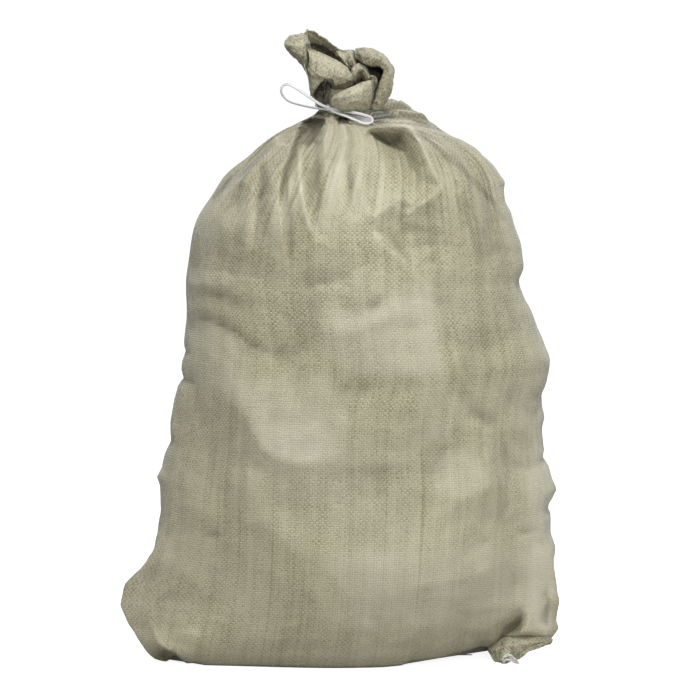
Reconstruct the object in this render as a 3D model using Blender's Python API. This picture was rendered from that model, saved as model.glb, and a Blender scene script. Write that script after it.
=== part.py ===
"""A filled woven sack, tied at the neck, standing on its base.

Metres, +Z up. The origin is on the floor under the middle of the base, and the front faces -Y.
"""

import math

import bmesh
import bpy
from mathutils import Vector

# The neck, where the tie pulls the cloth together, sloping down to the right
NECK_HEIGHT = 0.615
NECK_X = 0.004
NECK_Y = -0.018
NECK_HALF_WIDTH = 0.030
NECK_HALF_DEPTH = 0.024
NECK_BAND = 0.014
NECK_SLOPE = math.tan(math.radians(17))
NECK_SLOPE_FROM = NECK_HEIGHT - 0.016
NECK_SLOPE_FULL = NECK_HEIGHT - 0.002
NECK_SLOPE_WIDTH = 0.060

# The loft's mesh
RING_POINTS = 76
ROW_STEP = 0.019
FINE_ROW_STEP = 0.007
FINE_FROM = 0.555

# The filled body from the floor up: height, left side, right side, half depth, middle's y
BODY = [
    (0.000, -0.186, 0.190, 0.106, 0.000),
    (0.004, -0.195, 0.200, 0.112, 0.000),
    (0.018, -0.203, 0.214, 0.122, 0.000),
    (0.050, -0.206, 0.226, 0.136, 0.000),
    (0.085, -0.207, 0.233, 0.142, 0.000),
    (0.124, -0.208, 0.238, 0.142, 0.000),
    (0.193, -0.207, 0.243, 0.138, 0.000),
    (0.238, -0.196, 0.232, 0.138, 0.000),
    (0.284, -0.188, 0.229, 0.141, 0.000),
    (0.330, -0.182, 0.237, 0.144, 0.001),
    (0.376, -0.176, 0.222, 0.148, 0.002),
    (0.422, -0.176, 0.203, 0.153, 0.003),
    (0.445, -0.173, 0.208, 0.155, 0.003),
    (0.491, -0.165, 0.197, 0.153, 0.004),
    (0.525, -0.144, 0.186, 0.143, 0.004),
    (0.548, -0.128, 0.178, 0.130, 0.003),
    (0.571, -0.100, 0.156, 0.108, 0.000),
    (0.590, -0.072, 0.120, 0.078, -0.004),
    (0.601, -0.050, 0.078, 0.052, -0.010),
]

# The neck and the bunched cloth above it: height, half width, half depth, middle's x and y
HEAD = [
    (NECK_HEIGHT - NECK_BAND / 2, NECK_HALF_WIDTH, NECK_HALF_DEPTH, NECK_X, NECK_Y),
    (NECK_HEIGHT + NECK_BAND / 2, NECK_HALF_WIDTH, NECK_HALF_DEPTH, NECK_X, NECK_Y),
    (0.634, 0.036, 0.028, 0.004, -0.020),
    (0.648, 0.040, 0.032, 0.003, -0.020),
    (0.663, 0.035, 0.030, 0.004, -0.018),
    (0.675, 0.020, 0.018, 0.006, -0.015),
]

# Rubble pressing out: direction round the body in degrees (-90 is the front), height,
# spread round, spread up, and how far it pushes the cloth
LUMPS = [
    (-112, 0.390, 26, 0.060, 0.006),
    (-62, 0.320, 24, 0.055, 0.005),
    (-128, 0.190, 24, 0.060, 0.004),
    (-82, 0.120, 30, 0.060, 0.004),
    (-40, 0.180, 22, 0.050, 0.004),
    (48, 0.310, 26, 0.070, 0.006),
    (96, 0.190, 28, 0.070, 0.005),
    (128, 0.380, 24, 0.060, 0.006),
    (88, 0.450, 30, 0.050, 0.005),
]

# The main forms of the front: x, height, half width, half height, lean in degrees, and how far
# each one stands forward
FRONT_FORMS = {
    "belly": (0.060, 0.315, 0.125, 0.075, 0, 0.009),
    "ledge": (-0.085, 0.262, 0.050, 0.050, 0, 0.012),
    "low bulge": (0.050, 0.142, 0.140, 0.090, 0, 0.012),
    "left hollow": (-0.128, 0.165, 0.024, 0.065, 10, -0.009),
    "upper left dip": (-0.085, 0.430, 0.050, 0.040, 0, -0.005),
    "right lobe": (0.140, 0.205, 0.040, 0.040, 0, 0.006),
    "right dip": (0.158, 0.318, 0.030, 0.045, 0, -0.009),
    "pocket": (-0.034, 0.585, 0.014, 0.042, 8, -0.026),
    "tongue hollow": (0.012, 0.565, 0.026, 0.038, 0, -0.015),
    "fold valley": (0.060, 0.566, 0.018, 0.028, -35, -0.028),
    "fold lip": (0.086, 0.592, 0.024, 0.013, 0, 0.021),
    "fold ridge": (0.104, 0.550, 0.012, 0.030, -30, 0.008),
    "left ridge": (-0.078, 0.562, 0.014, 0.030, 5, 0.010),
}
FRONT_EDGE = (0.05, 0.45)

# Cloth that stands up behind the neck: direction, spread round, height, spread up, lift
BACK_RIDGE = (64, 36, 0.592, 0.014, 0.032)

PLEAT_COUNT = 14
PLEAT_DEPTH = 0.0055
PLEATS_FROM = 0.48
PLEATS_FULL = 0.585
PLEATS_AT_NECK = 0.3

# The bottom corners of the cut stand out as ears: direction round the body, spread round,
# and how far the ear reaches past the body at each height
LEFT_EAR = (-157, 26, [
    (0.000, 0.022),
    (0.004, 0.029),
    (0.018, 0.040),
    (0.041, 0.053),
    (0.062, 0.059),
    (0.084, 0.056),
    (0.102, 0.038),
    (0.120, 0.022),
    (0.145, 0.008),
    (0.180, 0.000),
])
RIGHT_EAR = (-23, 24, [
    (0.000, 0.006),
    (0.004, 0.020),
    (0.018, 0.040),
    (0.033, 0.043),
    (0.041, 0.038),
    (0.052, 0.036),
    (0.065, 0.036),
    (0.080, 0.031),
    (0.095, 0.024),
    (0.130, 0.011),
    (0.180, 0.000),
])
EAR_SHARPNESS = 1.4

# Low down the cloth reaches forward: direction, spread round, up to which height, how far
FORWARD = [
    (-157, 30, 0.050, 0.042),
    (-95, 50, 0.080, 0.012),
    (-22, 12, 0.070, 0.032),
    (-40, 9, 0.040, -0.016),
]

# Folds of the tail above the tie: path points with the radius across and the radius deep
CURL = [
    (0.024, -0.018, 0.624, 0.012, 0.017),
    (0.042, -0.020, 0.640, 0.014, 0.021),
    (0.045, -0.022, 0.657, 0.015, 0.023),
    (0.036, -0.022, 0.670, 0.015, 0.023),
    (0.020, -0.020, 0.675, 0.013, 0.020),
    (0.006, -0.020, 0.668, 0.010, 0.015),
]
ROLL = [
    (0.004, -0.036, 0.652, 0.012, 0.014),
    (-0.010, -0.037, 0.661, 0.015, 0.016),
    (-0.026, -0.036, 0.674, 0.018, 0.018),
    (-0.040, -0.033, 0.686, 0.019, 0.018),
    (-0.049, -0.029, 0.695, 0.017, 0.016),
    (-0.053, -0.027, 0.700, 0.013, 0.012),
]
LIP = [
    (-0.016, -0.036, 0.6400, 0.0080, 0.0090),
    (-0.007, -0.043, 0.6375, 0.0115, 0.0110),
    (0.006, -0.048, 0.6330, 0.0125, 0.0125),
    (0.020, -0.047, 0.6320, 0.0125, 0.0125),
    (0.034, -0.039, 0.6360, 0.0090, 0.0100),
]
LEFT_FLAP = [
    (-0.021, -0.034, 0.635, 0.006, 0.007),
    (-0.025, -0.038, 0.642, 0.008, 0.009),
    (-0.028, -0.043, 0.651, 0.009, 0.012),
    (-0.028, -0.044, 0.662, 0.010, 0.012),
    (-0.027, -0.038, 0.673, 0.010, 0.012),
]
REAR_FLAP = [
    (-0.041, -0.022, 0.700, 0.007, 0.007),
    (-0.030, -0.016, 0.697, 0.010, 0.008),
    (-0.014, -0.012, 0.687, 0.011, 0.009),
    (0.004, -0.012, 0.677, 0.012, 0.011),
    (0.020, -0.013, 0.672, 0.010, 0.011),
]
FOLDS = {
    "curl": CURL,
    "roll": ROLL,
    "lip": LIP,
    "left_flap": LEFT_FLAP,
    "rear_flap": REAR_FLAP,
}
FOLD_SIDES = 14
FOLD_STEPS = 12

# Pieces that lie against each other keep this gap
GAP = 0.0003

# The tie: a plastic string, wound round the neck and tied in a bow
TIE_RADIUS = 0.0012
TIE_TURNS = 2
TIE_PITCH = 2 * TIE_RADIUS + GAP
TIE_STEPS_PER_TURN = 26
TIE_START = -0.68 * math.pi
BOW_Y = NECK_Y - NECK_HALF_DEPTH - 0.004
BOW_KNOT = (-0.012, BOW_Y + 0.0015, 0.6192)
BOW_KNOT_RADII = (0.0052, 0.0040, 0.0036)
LEFT_LOOP = [
    (-0.012, BOW_Y, 0.6205),
    (-0.021, BOW_Y - 0.008, 0.6240),
    (-0.035, BOW_Y - 0.011, 0.6330),
    (-0.048, BOW_Y - 0.010, 0.6420),
    (-0.058, BOW_Y - 0.008, 0.6470),
    (-0.065, BOW_Y - 0.007, 0.6440),
    (-0.065, BOW_Y - 0.006, 0.6360),
    (-0.057, BOW_Y - 0.006, 0.6280),
    (-0.040, BOW_Y - 0.006, 0.6230),
    (-0.024, BOW_Y - 0.005, 0.6200),
    (-0.012, BOW_Y, 0.6185),
]
RIGHT_LOOP = [
    (-0.011, BOW_Y, 0.6200),
    (0.006, BOW_Y - 0.006, 0.6170),
    (0.022, BOW_Y - 0.014, 0.6140),
    (0.034, BOW_Y - 0.020, 0.6100),
    (0.035, BOW_Y - 0.022, 0.6050),
    (0.026, BOW_Y - 0.021, 0.6040),
    (0.008, BOW_Y - 0.012, 0.6110),
    (-0.011, BOW_Y, 0.6180),
]
LOOP_STEPS = 28
STRING_BEVEL = 2

# The stitching of the bottom seam, sunk in the base between the two ears
THREAD_RADIUS = 0.0006
THREAD_HALF_LENGTH = 0.150
THREAD_Y = -0.045


def clear_scene():
    for old in list(bpy.data.objects):
        bpy.data.objects.remove(old)


def make_material(name, colour, roughness):
    material = bpy.data.materials.new(name)
    material.use_nodes = True
    shader = material.node_tree.nodes["Principled BSDF"]
    shader.inputs["Base Color"].default_value = (*colour, 1)
    shader.inputs["Roughness"].default_value = roughness
    shader.inputs["Metallic"].default_value = 0
    return material


def add_object(name, mesh, material=None):
    made = bpy.data.objects.new(name, mesh)
    bpy.context.scene.collection.objects.link(made)
    if material:
        mesh.materials.append(material)
    return made


def smooth_step(low, high, value):
    t = min(1, max(0, (value - low) / (high - low)))
    return t * t * (3 - 2 * t)


def through(stations, at):
    """The other columns where the first one is at, on a smooth curve through every station."""
    last = len(stations) - 1
    i = max(k for k in range(last) if k == 0 or stations[k][0] <= at)
    before, low = stations[max(0, i - 1)], stations[i]
    high, after = stations[i + 1], stations[min(last, i + 2)]
    span = high[0] - low[0]
    t = (at - low[0]) / span
    found = []
    for b, lo, hi, a in zip(before[1:], low[1:], high[1:], after[1:]):
        rise = (hi - b) / (high[0] - before[0]) * span
        fall = (a - lo) / (after[0] - low[0]) * span
        found.append(
            (2 * t**3 - 3 * t**2 + 1) * lo
            + (t**3 - 2 * t**2 + t) * rise
            + (3 * t**2 - 2 * t**3) * hi
            + (t**3 - t**2) * fall
        )
    return found


def numbered(stations):
    """The same stations with their own number as the first column."""
    return [(k, *station) for k, station in enumerate(stations)]


def turn_between(a, b):
    """The angle from a to b in degrees, at most 180."""
    return abs((a - b + 180) % 360 - 180)


def hump(value, middle, spread):
    return math.exp(-(((value - middle) / spread) ** 2))


def relief(direction, height):
    """How far the cloth stands off the smooth outline here."""
    total = 0
    for at, level, wide, tall, size in LUMPS:
        total += size * hump(turn_between(direction, at), 0, wide) * hump(height, level, tall)
    gathered = smooth_step(PLEATS_FROM, PLEATS_FULL, height)
    released = 1 - smooth_step(PLEATS_FULL, NECK_HEIGHT - NECK_BAND, height)
    depth = PLEAT_DEPTH * gathered * (PLEATS_AT_NECK + (1 - PLEATS_AT_NECK) * released)
    return total + depth * math.cos(math.radians(direction) * PLEAT_COUNT)


def front_form(x, height, angle):
    """How far the main forms of the front bring the cloth forward here."""
    total = 0
    for middle_x, level, wide, tall, lean, size in FRONT_FORMS.values():
        turn = math.radians(lean)
        across = (x - middle_x) * math.cos(turn) + (height - level) * math.sin(turn)
        up = (height - level) * math.cos(turn) - (x - middle_x) * math.sin(turn)
        total += size * hump(across, 0, wide) * hump(up, 0, tall)
    return total * smooth_step(*FRONT_EDGE, -math.sin(angle))


def forward(direction, height):
    """How far the cloth reaches forward low down."""
    total = 0
    for at, wide, top, size in FORWARD:
        total += size * (1 - smooth_step(0, top, height)) * hump(turn_between(direction, at), 0, wide)
    return total


def ear_reach(ear, direction, height):
    at, spread, stations = ear
    near = 1 - turn_between(direction, at) / spread
    if near <= 0 or height >= stations[-1][0]:
        return 0
    return through(stations, height)[0] * near**EAR_SHARPNESS


def slope(x, height):
    """How far the neck's slope lowers the cloth here."""
    inside = hump(x, NECK_X, NECK_SLOPE_WIDTH)
    near = smooth_step(NECK_SLOPE_FROM, NECK_SLOPE_FULL, height)
    return NECK_SLOPE * (x - NECK_X) * inside * near


def body_ring(height):
    left, right, half_depth, middle_y = through(BODY, height)
    ridge_at, ridge_spread, ridge_height, ridge_tall, ridge_lift = BACK_RIDGE
    ring = []
    for k in range(RING_POINTS):
        direction = 360 * k / RING_POINTS
        angle = math.radians(direction)
        out = relief(direction, height)
        ears = ear_reach(RIGHT_EAR, direction, height) - ear_reach(LEFT_EAR, direction, height)
        x = (left + right) / 2 + ((right - left) / 2 + out) * math.cos(angle) + ears
        y = middle_y + (half_depth + out) * math.sin(angle)
        y -= front_form(x, height, angle) + forward(direction, height)
        behind = hump(turn_between(direction, ridge_at), 0, ridge_spread)
        lift = ridge_lift * behind * hump(height, ridge_height, ridge_tall)
        ring.append((x, y, height + lift - slope(x, height)))
    return ring


def head_ring(station):
    height, half_width, half_depth, middle_x, middle_y = station
    ring = []
    for k in range(RING_POINTS):
        angle = math.radians(360 * k / RING_POINTS)
        x = middle_x + half_width * math.cos(angle)
        y = middle_y + half_depth * math.sin(angle)
        ring.append((x, y, height - NECK_SLOPE * (x - NECK_X)))
    return ring


def body_heights():
    top = BODY[-1][0]
    heights = [station[0] for station in BODY[:3]]
    while heights[-1] < FINE_FROM:
        heights.append(heights[-1] + ROW_STEP)
    while heights[-1] + FINE_ROW_STEP < top:
        heights.append(heights[-1] + FINE_ROW_STEP)
    return heights + [top]


def loft(name, rings):
    """A closed mesh through rings of equal count, with flat ends."""
    work = bmesh.new()
    rows = [[work.verts.new(point) for point in ring] for ring in rings]
    count = len(rings[0])
    for low, high in zip(rows, rows[1:]):
        for k in range(count):
            n = (k + 1) % count
            work.faces.new((low[k], low[n], high[n], high[k]))
    work.faces.new(list(reversed(rows[0])))
    work.faces.new(rows[-1])
    bmesh.ops.recalc_face_normals(work, faces=work.faces)
    mesh = bpy.data.meshes.new(name)
    work.to_mesh(mesh)
    work.free()
    return mesh


def fold_mesh(name, stations):
    """A fat fold of cloth along a smooth path, across the view and deep in Y."""
    last = len(stations) - 1
    path = numbered(stations)
    rows = [through(path, last * k / FOLD_STEPS) for k in range(FOLD_STEPS + 1)]
    rings = []
    for k, row in enumerate(rows):
        middle = Vector(row[:3])
        ahead = Vector(rows[min(FOLD_STEPS, k + 1)][:3])
        along = ahead - Vector(rows[max(0, k - 1)][:3])
        across = along.cross(Vector((0, 1, 0))).normalized()
        deep = across.cross(along).normalized()
        ring = []
        for n in range(FOLD_SIDES):
            angle = 2 * math.pi * n / FOLD_SIDES
            side = across * (row[3] * math.cos(angle))
            front = deep * (row[4] * math.sin(angle))
            ring.append(middle + side + front)
        rings.append(ring)
    return loft(name, rings)


def join_or_cut(target, other, operation):
    """Adds other to target, or cuts it away, and keeps it out of the render."""
    other.hide_render = True
    other.display_type = "WIRE"
    modifier = target.modifiers.new(other.name, "BOOLEAN")
    modifier.operation = operation
    modifier.solver = "EXACT"
    modifier.object = other


def make_sack(material):
    rings = [body_ring(height) for height in body_heights()]
    rings.append(head_ring(HEAD[0]))
    for low, high in zip(HEAD, HEAD[1:]):
        halfway = (low[0] + high[0]) / 2
        rings.append(head_ring((halfway, *through(HEAD, halfway))))
        rings.append(head_ring(high))
    sack = add_object("sack", loft("sack", rings), material)
    for name, stations in FOLDS.items():
        join_or_cut(sack, add_object(name, fold_mesh(name, stations)), "UNION")
    join_or_cut(sack, make_groove(), "DIFFERENCE")


def make_groove():
    """The line that the stitches pull into the base."""
    reach = THREAD_HALF_LENGTH + 2 * GAP
    half = THREAD_RADIUS + GAP
    corners = ((-half, -half), (half, -half), (half, 2 * half), (-half, 2 * half))
    rings = []
    for x in (-reach, reach):
        rings.append([(x, THREAD_Y + y, z) for y, z in corners])
    return add_object("groove", loft("groove", rings))


def string_object(name, points, radius, material=None):
    curve = bpy.data.curves.new(name, "CURVE")
    curve.dimensions = "3D"
    curve.bevel_depth = radius
    curve.bevel_resolution = STRING_BEVEL
    curve.use_fill_caps = True
    spline = curve.splines.new("POLY")
    spline.points.add(len(points) - 1)
    for point, place in zip(spline.points, points):
        point.co = (*place, 1)
    return add_object(name, curve, material)


def string_mesh(name, points):
    """A string as a closed mesh, because a Boolean takes no curve."""
    string = string_object(name, points, TIE_RADIUS)
    graph = bpy.context.evaluated_depsgraph_get()
    mesh = bpy.data.meshes.new_from_object(string.evaluated_get(graph))
    bpy.data.objects.remove(string)
    work = bmesh.new()
    work.from_mesh(mesh)
    bmesh.ops.remove_doubles(work, verts=work.verts, dist=0.00001)
    bmesh.ops.recalc_face_normals(work, faces=work.faces)
    work.to_mesh(mesh)
    work.free()
    return mesh


def wound_points():
    """The string's turns round the neck, a string's width apart."""
    clear = TIE_RADIUS + 2 * GAP
    points = []
    for k in range(TIE_TURNS * TIE_STEPS_PER_TURN + 1):
        turns = k / TIE_STEPS_PER_TURN
        angle = 2 * math.pi * turns + TIE_START
        x = (NECK_HALF_WIDTH + clear) * math.cos(angle)
        y = (NECK_HALF_DEPTH + clear) * math.sin(angle)
        rise = TIE_PITCH * (turns - TIE_TURNS / 2)
        points.append((NECK_X + x, NECK_Y + y, NECK_HEIGHT - NECK_SLOPE * x + rise))
    return points


def smooth_points(stations, steps):
    last = len(stations) - 1
    path = numbered(stations)
    return [through(path, last * k / steps) for k in range(steps + 1)]


def make_tie(material):
    tie = add_object("tie_cord", string_mesh("tie_cord", wound_points()), material)
    for name, stations in (("left_loop", LEFT_LOOP), ("right_loop", RIGHT_LOOP)):
        loop = add_object(name, string_mesh(name, smooth_points(stations, LOOP_STEPS)))
        join_or_cut(tie, loop, "UNION")
    knot_mesh = bpy.data.meshes.new("bow_knot")
    work = bmesh.new()
    bmesh.ops.create_icosphere(work, subdivisions=2, radius=1)
    bmesh.ops.scale(work, vec=BOW_KNOT_RADII, verts=work.verts)
    bmesh.ops.translate(work, vec=BOW_KNOT, verts=work.verts)
    work.to_mesh(knot_mesh)
    work.free()
    join_or_cut(tie, add_object("bow_knot", knot_mesh), "UNION")


def make_thread(material):
    ends = [(-THREAD_HALF_LENGTH, 0, 0), (THREAD_HALF_LENGTH, 0, 0)]
    thread = string_object("seam_thread", ends, THREAD_RADIUS, material)
    thread.location = (0, THREAD_Y, THREAD_RADIUS + GAP)


def build():
    clear_scene()
    make_sack(make_material("woven_cloth", (0.42, 0.39, 0.26), 0.55))
    make_tie(make_material("tie_string", (0.86, 0.86, 0.87), 0.35))
    make_thread(make_material("stitching", (0.80, 0.79, 0.74), 0.60))


build()
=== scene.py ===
import math
import random

import bmesh
import bpy
import numpy as np
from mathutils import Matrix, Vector, noise
from mathutils.geometry import delaunay_2d_cdt


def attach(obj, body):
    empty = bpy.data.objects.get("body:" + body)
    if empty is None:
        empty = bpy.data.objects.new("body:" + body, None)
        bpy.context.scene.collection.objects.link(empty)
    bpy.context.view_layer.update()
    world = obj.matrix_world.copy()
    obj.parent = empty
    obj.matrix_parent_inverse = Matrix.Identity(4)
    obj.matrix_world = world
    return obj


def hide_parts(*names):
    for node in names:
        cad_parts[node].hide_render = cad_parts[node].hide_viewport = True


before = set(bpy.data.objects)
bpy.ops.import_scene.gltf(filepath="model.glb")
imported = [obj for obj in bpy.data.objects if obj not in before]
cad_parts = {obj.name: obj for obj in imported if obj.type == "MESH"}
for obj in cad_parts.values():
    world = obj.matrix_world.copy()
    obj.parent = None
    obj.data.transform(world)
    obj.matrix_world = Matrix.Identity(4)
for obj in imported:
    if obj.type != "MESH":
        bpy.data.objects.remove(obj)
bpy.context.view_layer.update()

# where the reference picture was taken from: focal length in pixels, tilt down in degrees
photo = {
    "focal": 2807.7,
    "tilt": 4.733,
    "centre": 350,
    "size": 700,
    "cameraX": 0.0109,
    "cameraDistance": 3.2,
    "cameraHeight": 0.61,
}
eye = Vector((photo["cameraX"], -photo["cameraDistance"], photo["cameraHeight"]))
tilt = math.radians(photo["tilt"])


def planePoint(px, py):
    # a pixel of the picture, on the upright plane through the sack's middle, y = 0
    across = (px - photo["centre"]) / photo["focal"]
    up = (photo["centre"] - py) / photo["focal"]
    reach = -eye.y / (math.cos(tilt) + up * math.sin(tilt))
    return eye.x + reach * across, eye.z + reach * (up * math.cos(tilt) - math.sin(tilt))


def seenAt(px, py, depth):
    # the point at y = depth that the camera sees at this pixel
    x, z = planePoint(px, py)
    return eye + (Vector((x, 0, z)) - eye) * ((eye.y - depth) / eye.y)


def smoothStep(low, high, value):
    t = np.clip((value - low) / (high - low), 0, 1)
    return t * t * (3 - 2 * t)


def through(stations, at):
    # smooth curve through rows of numbers, read where the first column is at
    last = len(stations) - 1
    i = max(k for k in range(last) if k == 0 or stations[k][0] <= at)
    before, low = stations[max(0, i - 1)], stations[i]
    high, after = stations[i + 1], stations[min(last, i + 2)]
    span = high[0] - low[0]
    t = (at - low[0]) / span
    found = []
    for b, lo, hi, a in zip(before[1:], low[1:], high[1:], after[1:]):
        rise = (hi - b) / (high[0] - before[0]) * span
        fall = (a - lo) / (after[0] - low[0]) * span
        found.append(
            (2 * t**3 - 3 * t**2 + 1) * lo
            + (t**3 - 2 * t**2 + t) * rise
            + (3 * t**2 - 2 * t**3) * hi
            + (t**3 - t**2) * fall
        )
    return found


def numbered(rows):
    return [(k, *row) for k, row in enumerate(rows)]


def camera():
    data = bpy.data.cameras.new("camera")
    made = bpy.data.objects.new("camera", data)
    bpy.context.scene.collection.objects.link(made)
    made.location = eye
    made.rotation_euler = (math.pi / 2 - tilt, 0, 0)
    data.lens = data.sensor_width * photo["focal"] / photo["size"]
    data.clip_end = 100
    bpy.context.scene.camera = made


# node helpers


class Nodes:
    # short calls for building a node tree

    def __init__(self, tree):
        self.tree = tree

    def add(self, kind, **settings):
        node = self.tree.nodes.new(kind)
        for name, value in settings.items():
            setattr(node, name, value)
        return node

    def link(self, value, socket):
        if isinstance(value, bpy.types.NodeSocket):
            self.tree.links.new(value, socket)
        else:
            socket.default_value = value

    def math(self, operation, first, second=0.0, third=0.0):
        node = self.add("ShaderNodeMath", operation=operation)
        for value, socket in zip((first, second, third), node.inputs):
            self.link(value, socket)
        return node.outputs[0]

    def mix(self, share, first, second):
        node = self.add("ShaderNodeMix", data_type="RGBA")
        self.link(share, node.inputs["Factor"])
        self.link(first, node.inputs["A"])
        self.link(second, node.inputs["B"])
        return node.outputs["Result"]

    def between(self, value, low, high, toLow=0.0, toHigh=1.0):
        node = self.add("ShaderNodeMapRange", interpolation_type="SMOOTHSTEP")
        for entry, socket in zip((value, low, high, toLow, toHigh), node.inputs):
            self.link(entry, socket)
        return node.outputs[0]

    def noise(self, vector, scale, detail=2.0, roughness=0.5, distortion=0.0):
        node = self.add("ShaderNodeTexNoise")
        self.link(vector, node.inputs["Vector"])
        self.link(scale, node.inputs["Scale"])
        node.inputs["Detail"].default_value = detail
        node.inputs["Roughness"].default_value = roughness
        node.inputs["Distortion"].default_value = distortion
        return node.outputs["Fac"]

    def white(self, number):
        node = self.add("ShaderNodeTexWhiteNoise", noise_dimensions="1D")
        self.link(number, node.inputs["W"])
        return node.outputs["Value"]

    def join(self, x, y, z=0.0):
        node = self.add("ShaderNodeCombineXYZ")
        for value, socket in zip((x, y, z), node.inputs):
            self.link(value, socket)
        return node.outputs[0]

    def stretched(self, place, sizes):
        # a flat place, scaled across and along the cloth
        across, along, _ = self.split(place)
        return self.join(self.math("MULTIPLY", across, sizes[0]), self.math("MULTIPLY", along, sizes[1]))

    def split(self, vector):
        node = self.add("ShaderNodeSeparateXYZ")
        self.link(vector, node.inputs[0])
        return node.outputs

    def group(self, tree, **values):
        node = self.add("ShaderNodeGroup", node_tree=tree)
        for name, value in values.items():
            self.link(value, node.inputs[name])
        return node.outputs

    def bump(self, height, depth, normal, strength=1.0):
        node = self.add("ShaderNodeBump")
        node.inputs["Distance"].default_value = depth
        node.inputs["Strength"].default_value = strength
        self.link(height, node.inputs["Height"])
        self.link(node.outputs[0], normal)


def newPaint(name):
    # a material, its node calls and its shader's sockets
    paint = bpy.data.materials.new(name)
    paint.use_nodes = True
    return paint, Nodes(paint.node_tree), paint.node_tree.nodes["Principled BSDF"].inputs


def newGroup(name, inputs, outputs):
    tree = bpy.data.node_groups.new(name, "ShaderNodeTree")
    for label, kind, value in inputs:
        socket = tree.interface.new_socket(label, in_out="INPUT", socket_type=kind)
        if value is not None:
            socket.default_value = value
    for label, kind in outputs:
        tree.interface.new_socket(label, in_out="OUTPUT", socket_type=kind)
    nodes = Nodes(tree)
    return tree, nodes, nodes.add("NodeGroupInput").outputs, nodes.add("NodeGroupOutput").inputs


# studio

studio = {
    "floorSize": 60,
    "floorColour": (0.46, 0.46, 0.455),
    "floorGlow": 0.90,
    "floorRoughness": 0.9,
    "worldColour": (0.96, 0.98, 1.0),
    "worldStrength": 0.27,
    "worldSheen": 0.75,
    "backdrop": 1.05,
    "softboxes": [
        # place, what it points at, width, power
        ((0.35, -1.5, 2.6), (0, 0, 0.40), 1.0, 46),
        ((-2.4, -1.0, 1.3), (0, 0, 0.30), 1.2, 8),
        ((2.4, -0.5, 1.3), (0, 0, 0.35), 1.2, 9),
        ((0.2, 1.9, 2.2), (0, 0, 0.45), 1.6, 15),
        ((0.5, -3.0, 1.25), (0, 0, 0.35), 0.9, 22),
    ],
}


def lighting():
    for place, target, width, power in studio["softboxes"]:
        data = bpy.data.lights.new("softbox", "AREA")
        data.shape = "DISK"
        data.size = width
        data.energy = power
        lamp = bpy.data.objects.new("softbox", data)
        bpy.context.scene.collection.objects.link(lamp)
        lamp.location = place
        lamp.rotation_mode = "QUATERNION"
        lamp.rotation_quaternion = (Vector(target) - Vector(place)).to_track_quat("-Z", "Y")
    # the backdrop is seen as white paper, and lights the sack as soft grey
    world = bpy.data.worlds.new("studio")
    world.use_nodes = True
    n = Nodes(world.node_tree)
    back = world.node_tree.nodes["Background"]
    back.inputs["Color"].default_value = (*studio["worldColour"], 1)
    rays = n.add("ShaderNodeLightPath").outputs
    mirrored = n.between(rays["Is Glossy Ray"], 0, 1, studio["worldStrength"], studio["worldSheen"])
    n.link(n.between(rays["Is Camera Ray"], 0, 1, mirrored, studio["backdrop"]),
           back.inputs["Strength"])
    bpy.context.scene.world = world
    bpy.context.scene.view_settings.view_transform = "Standard"


def floor():
    half = studio["floorSize"] / 2
    mesh = bpy.data.meshes.new("studio_floor")
    corners = [(-half, -half, 0), (half, -half, 0), (half, half, 0), (-half, half, 0)]
    mesh.from_pydata(corners, [], [(0, 1, 2, 3)])
    made = bpy.data.objects.new("studio_floor", mesh)
    bpy.context.scene.collection.objects.link(made)
    paint, n, shader = newPaint("studioFloor")
    shader["Base Color"].default_value = (*studio["floorColour"], 1)
    shader["Roughness"].default_value = studio["floorRoughness"]
    shader["Emission Color"].default_value = (1, 1, 1, 1)
    seen = n.add("ShaderNodeLightPath").outputs["Is Camera Ray"]
    n.link(n.math("MULTIPLY", seen, studio["floorGlow"]), shader["Emission Strength"])
    mesh.materials.append(paint)


number, vector = "NodeSocketFloat", "NodeSocketVector"


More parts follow.
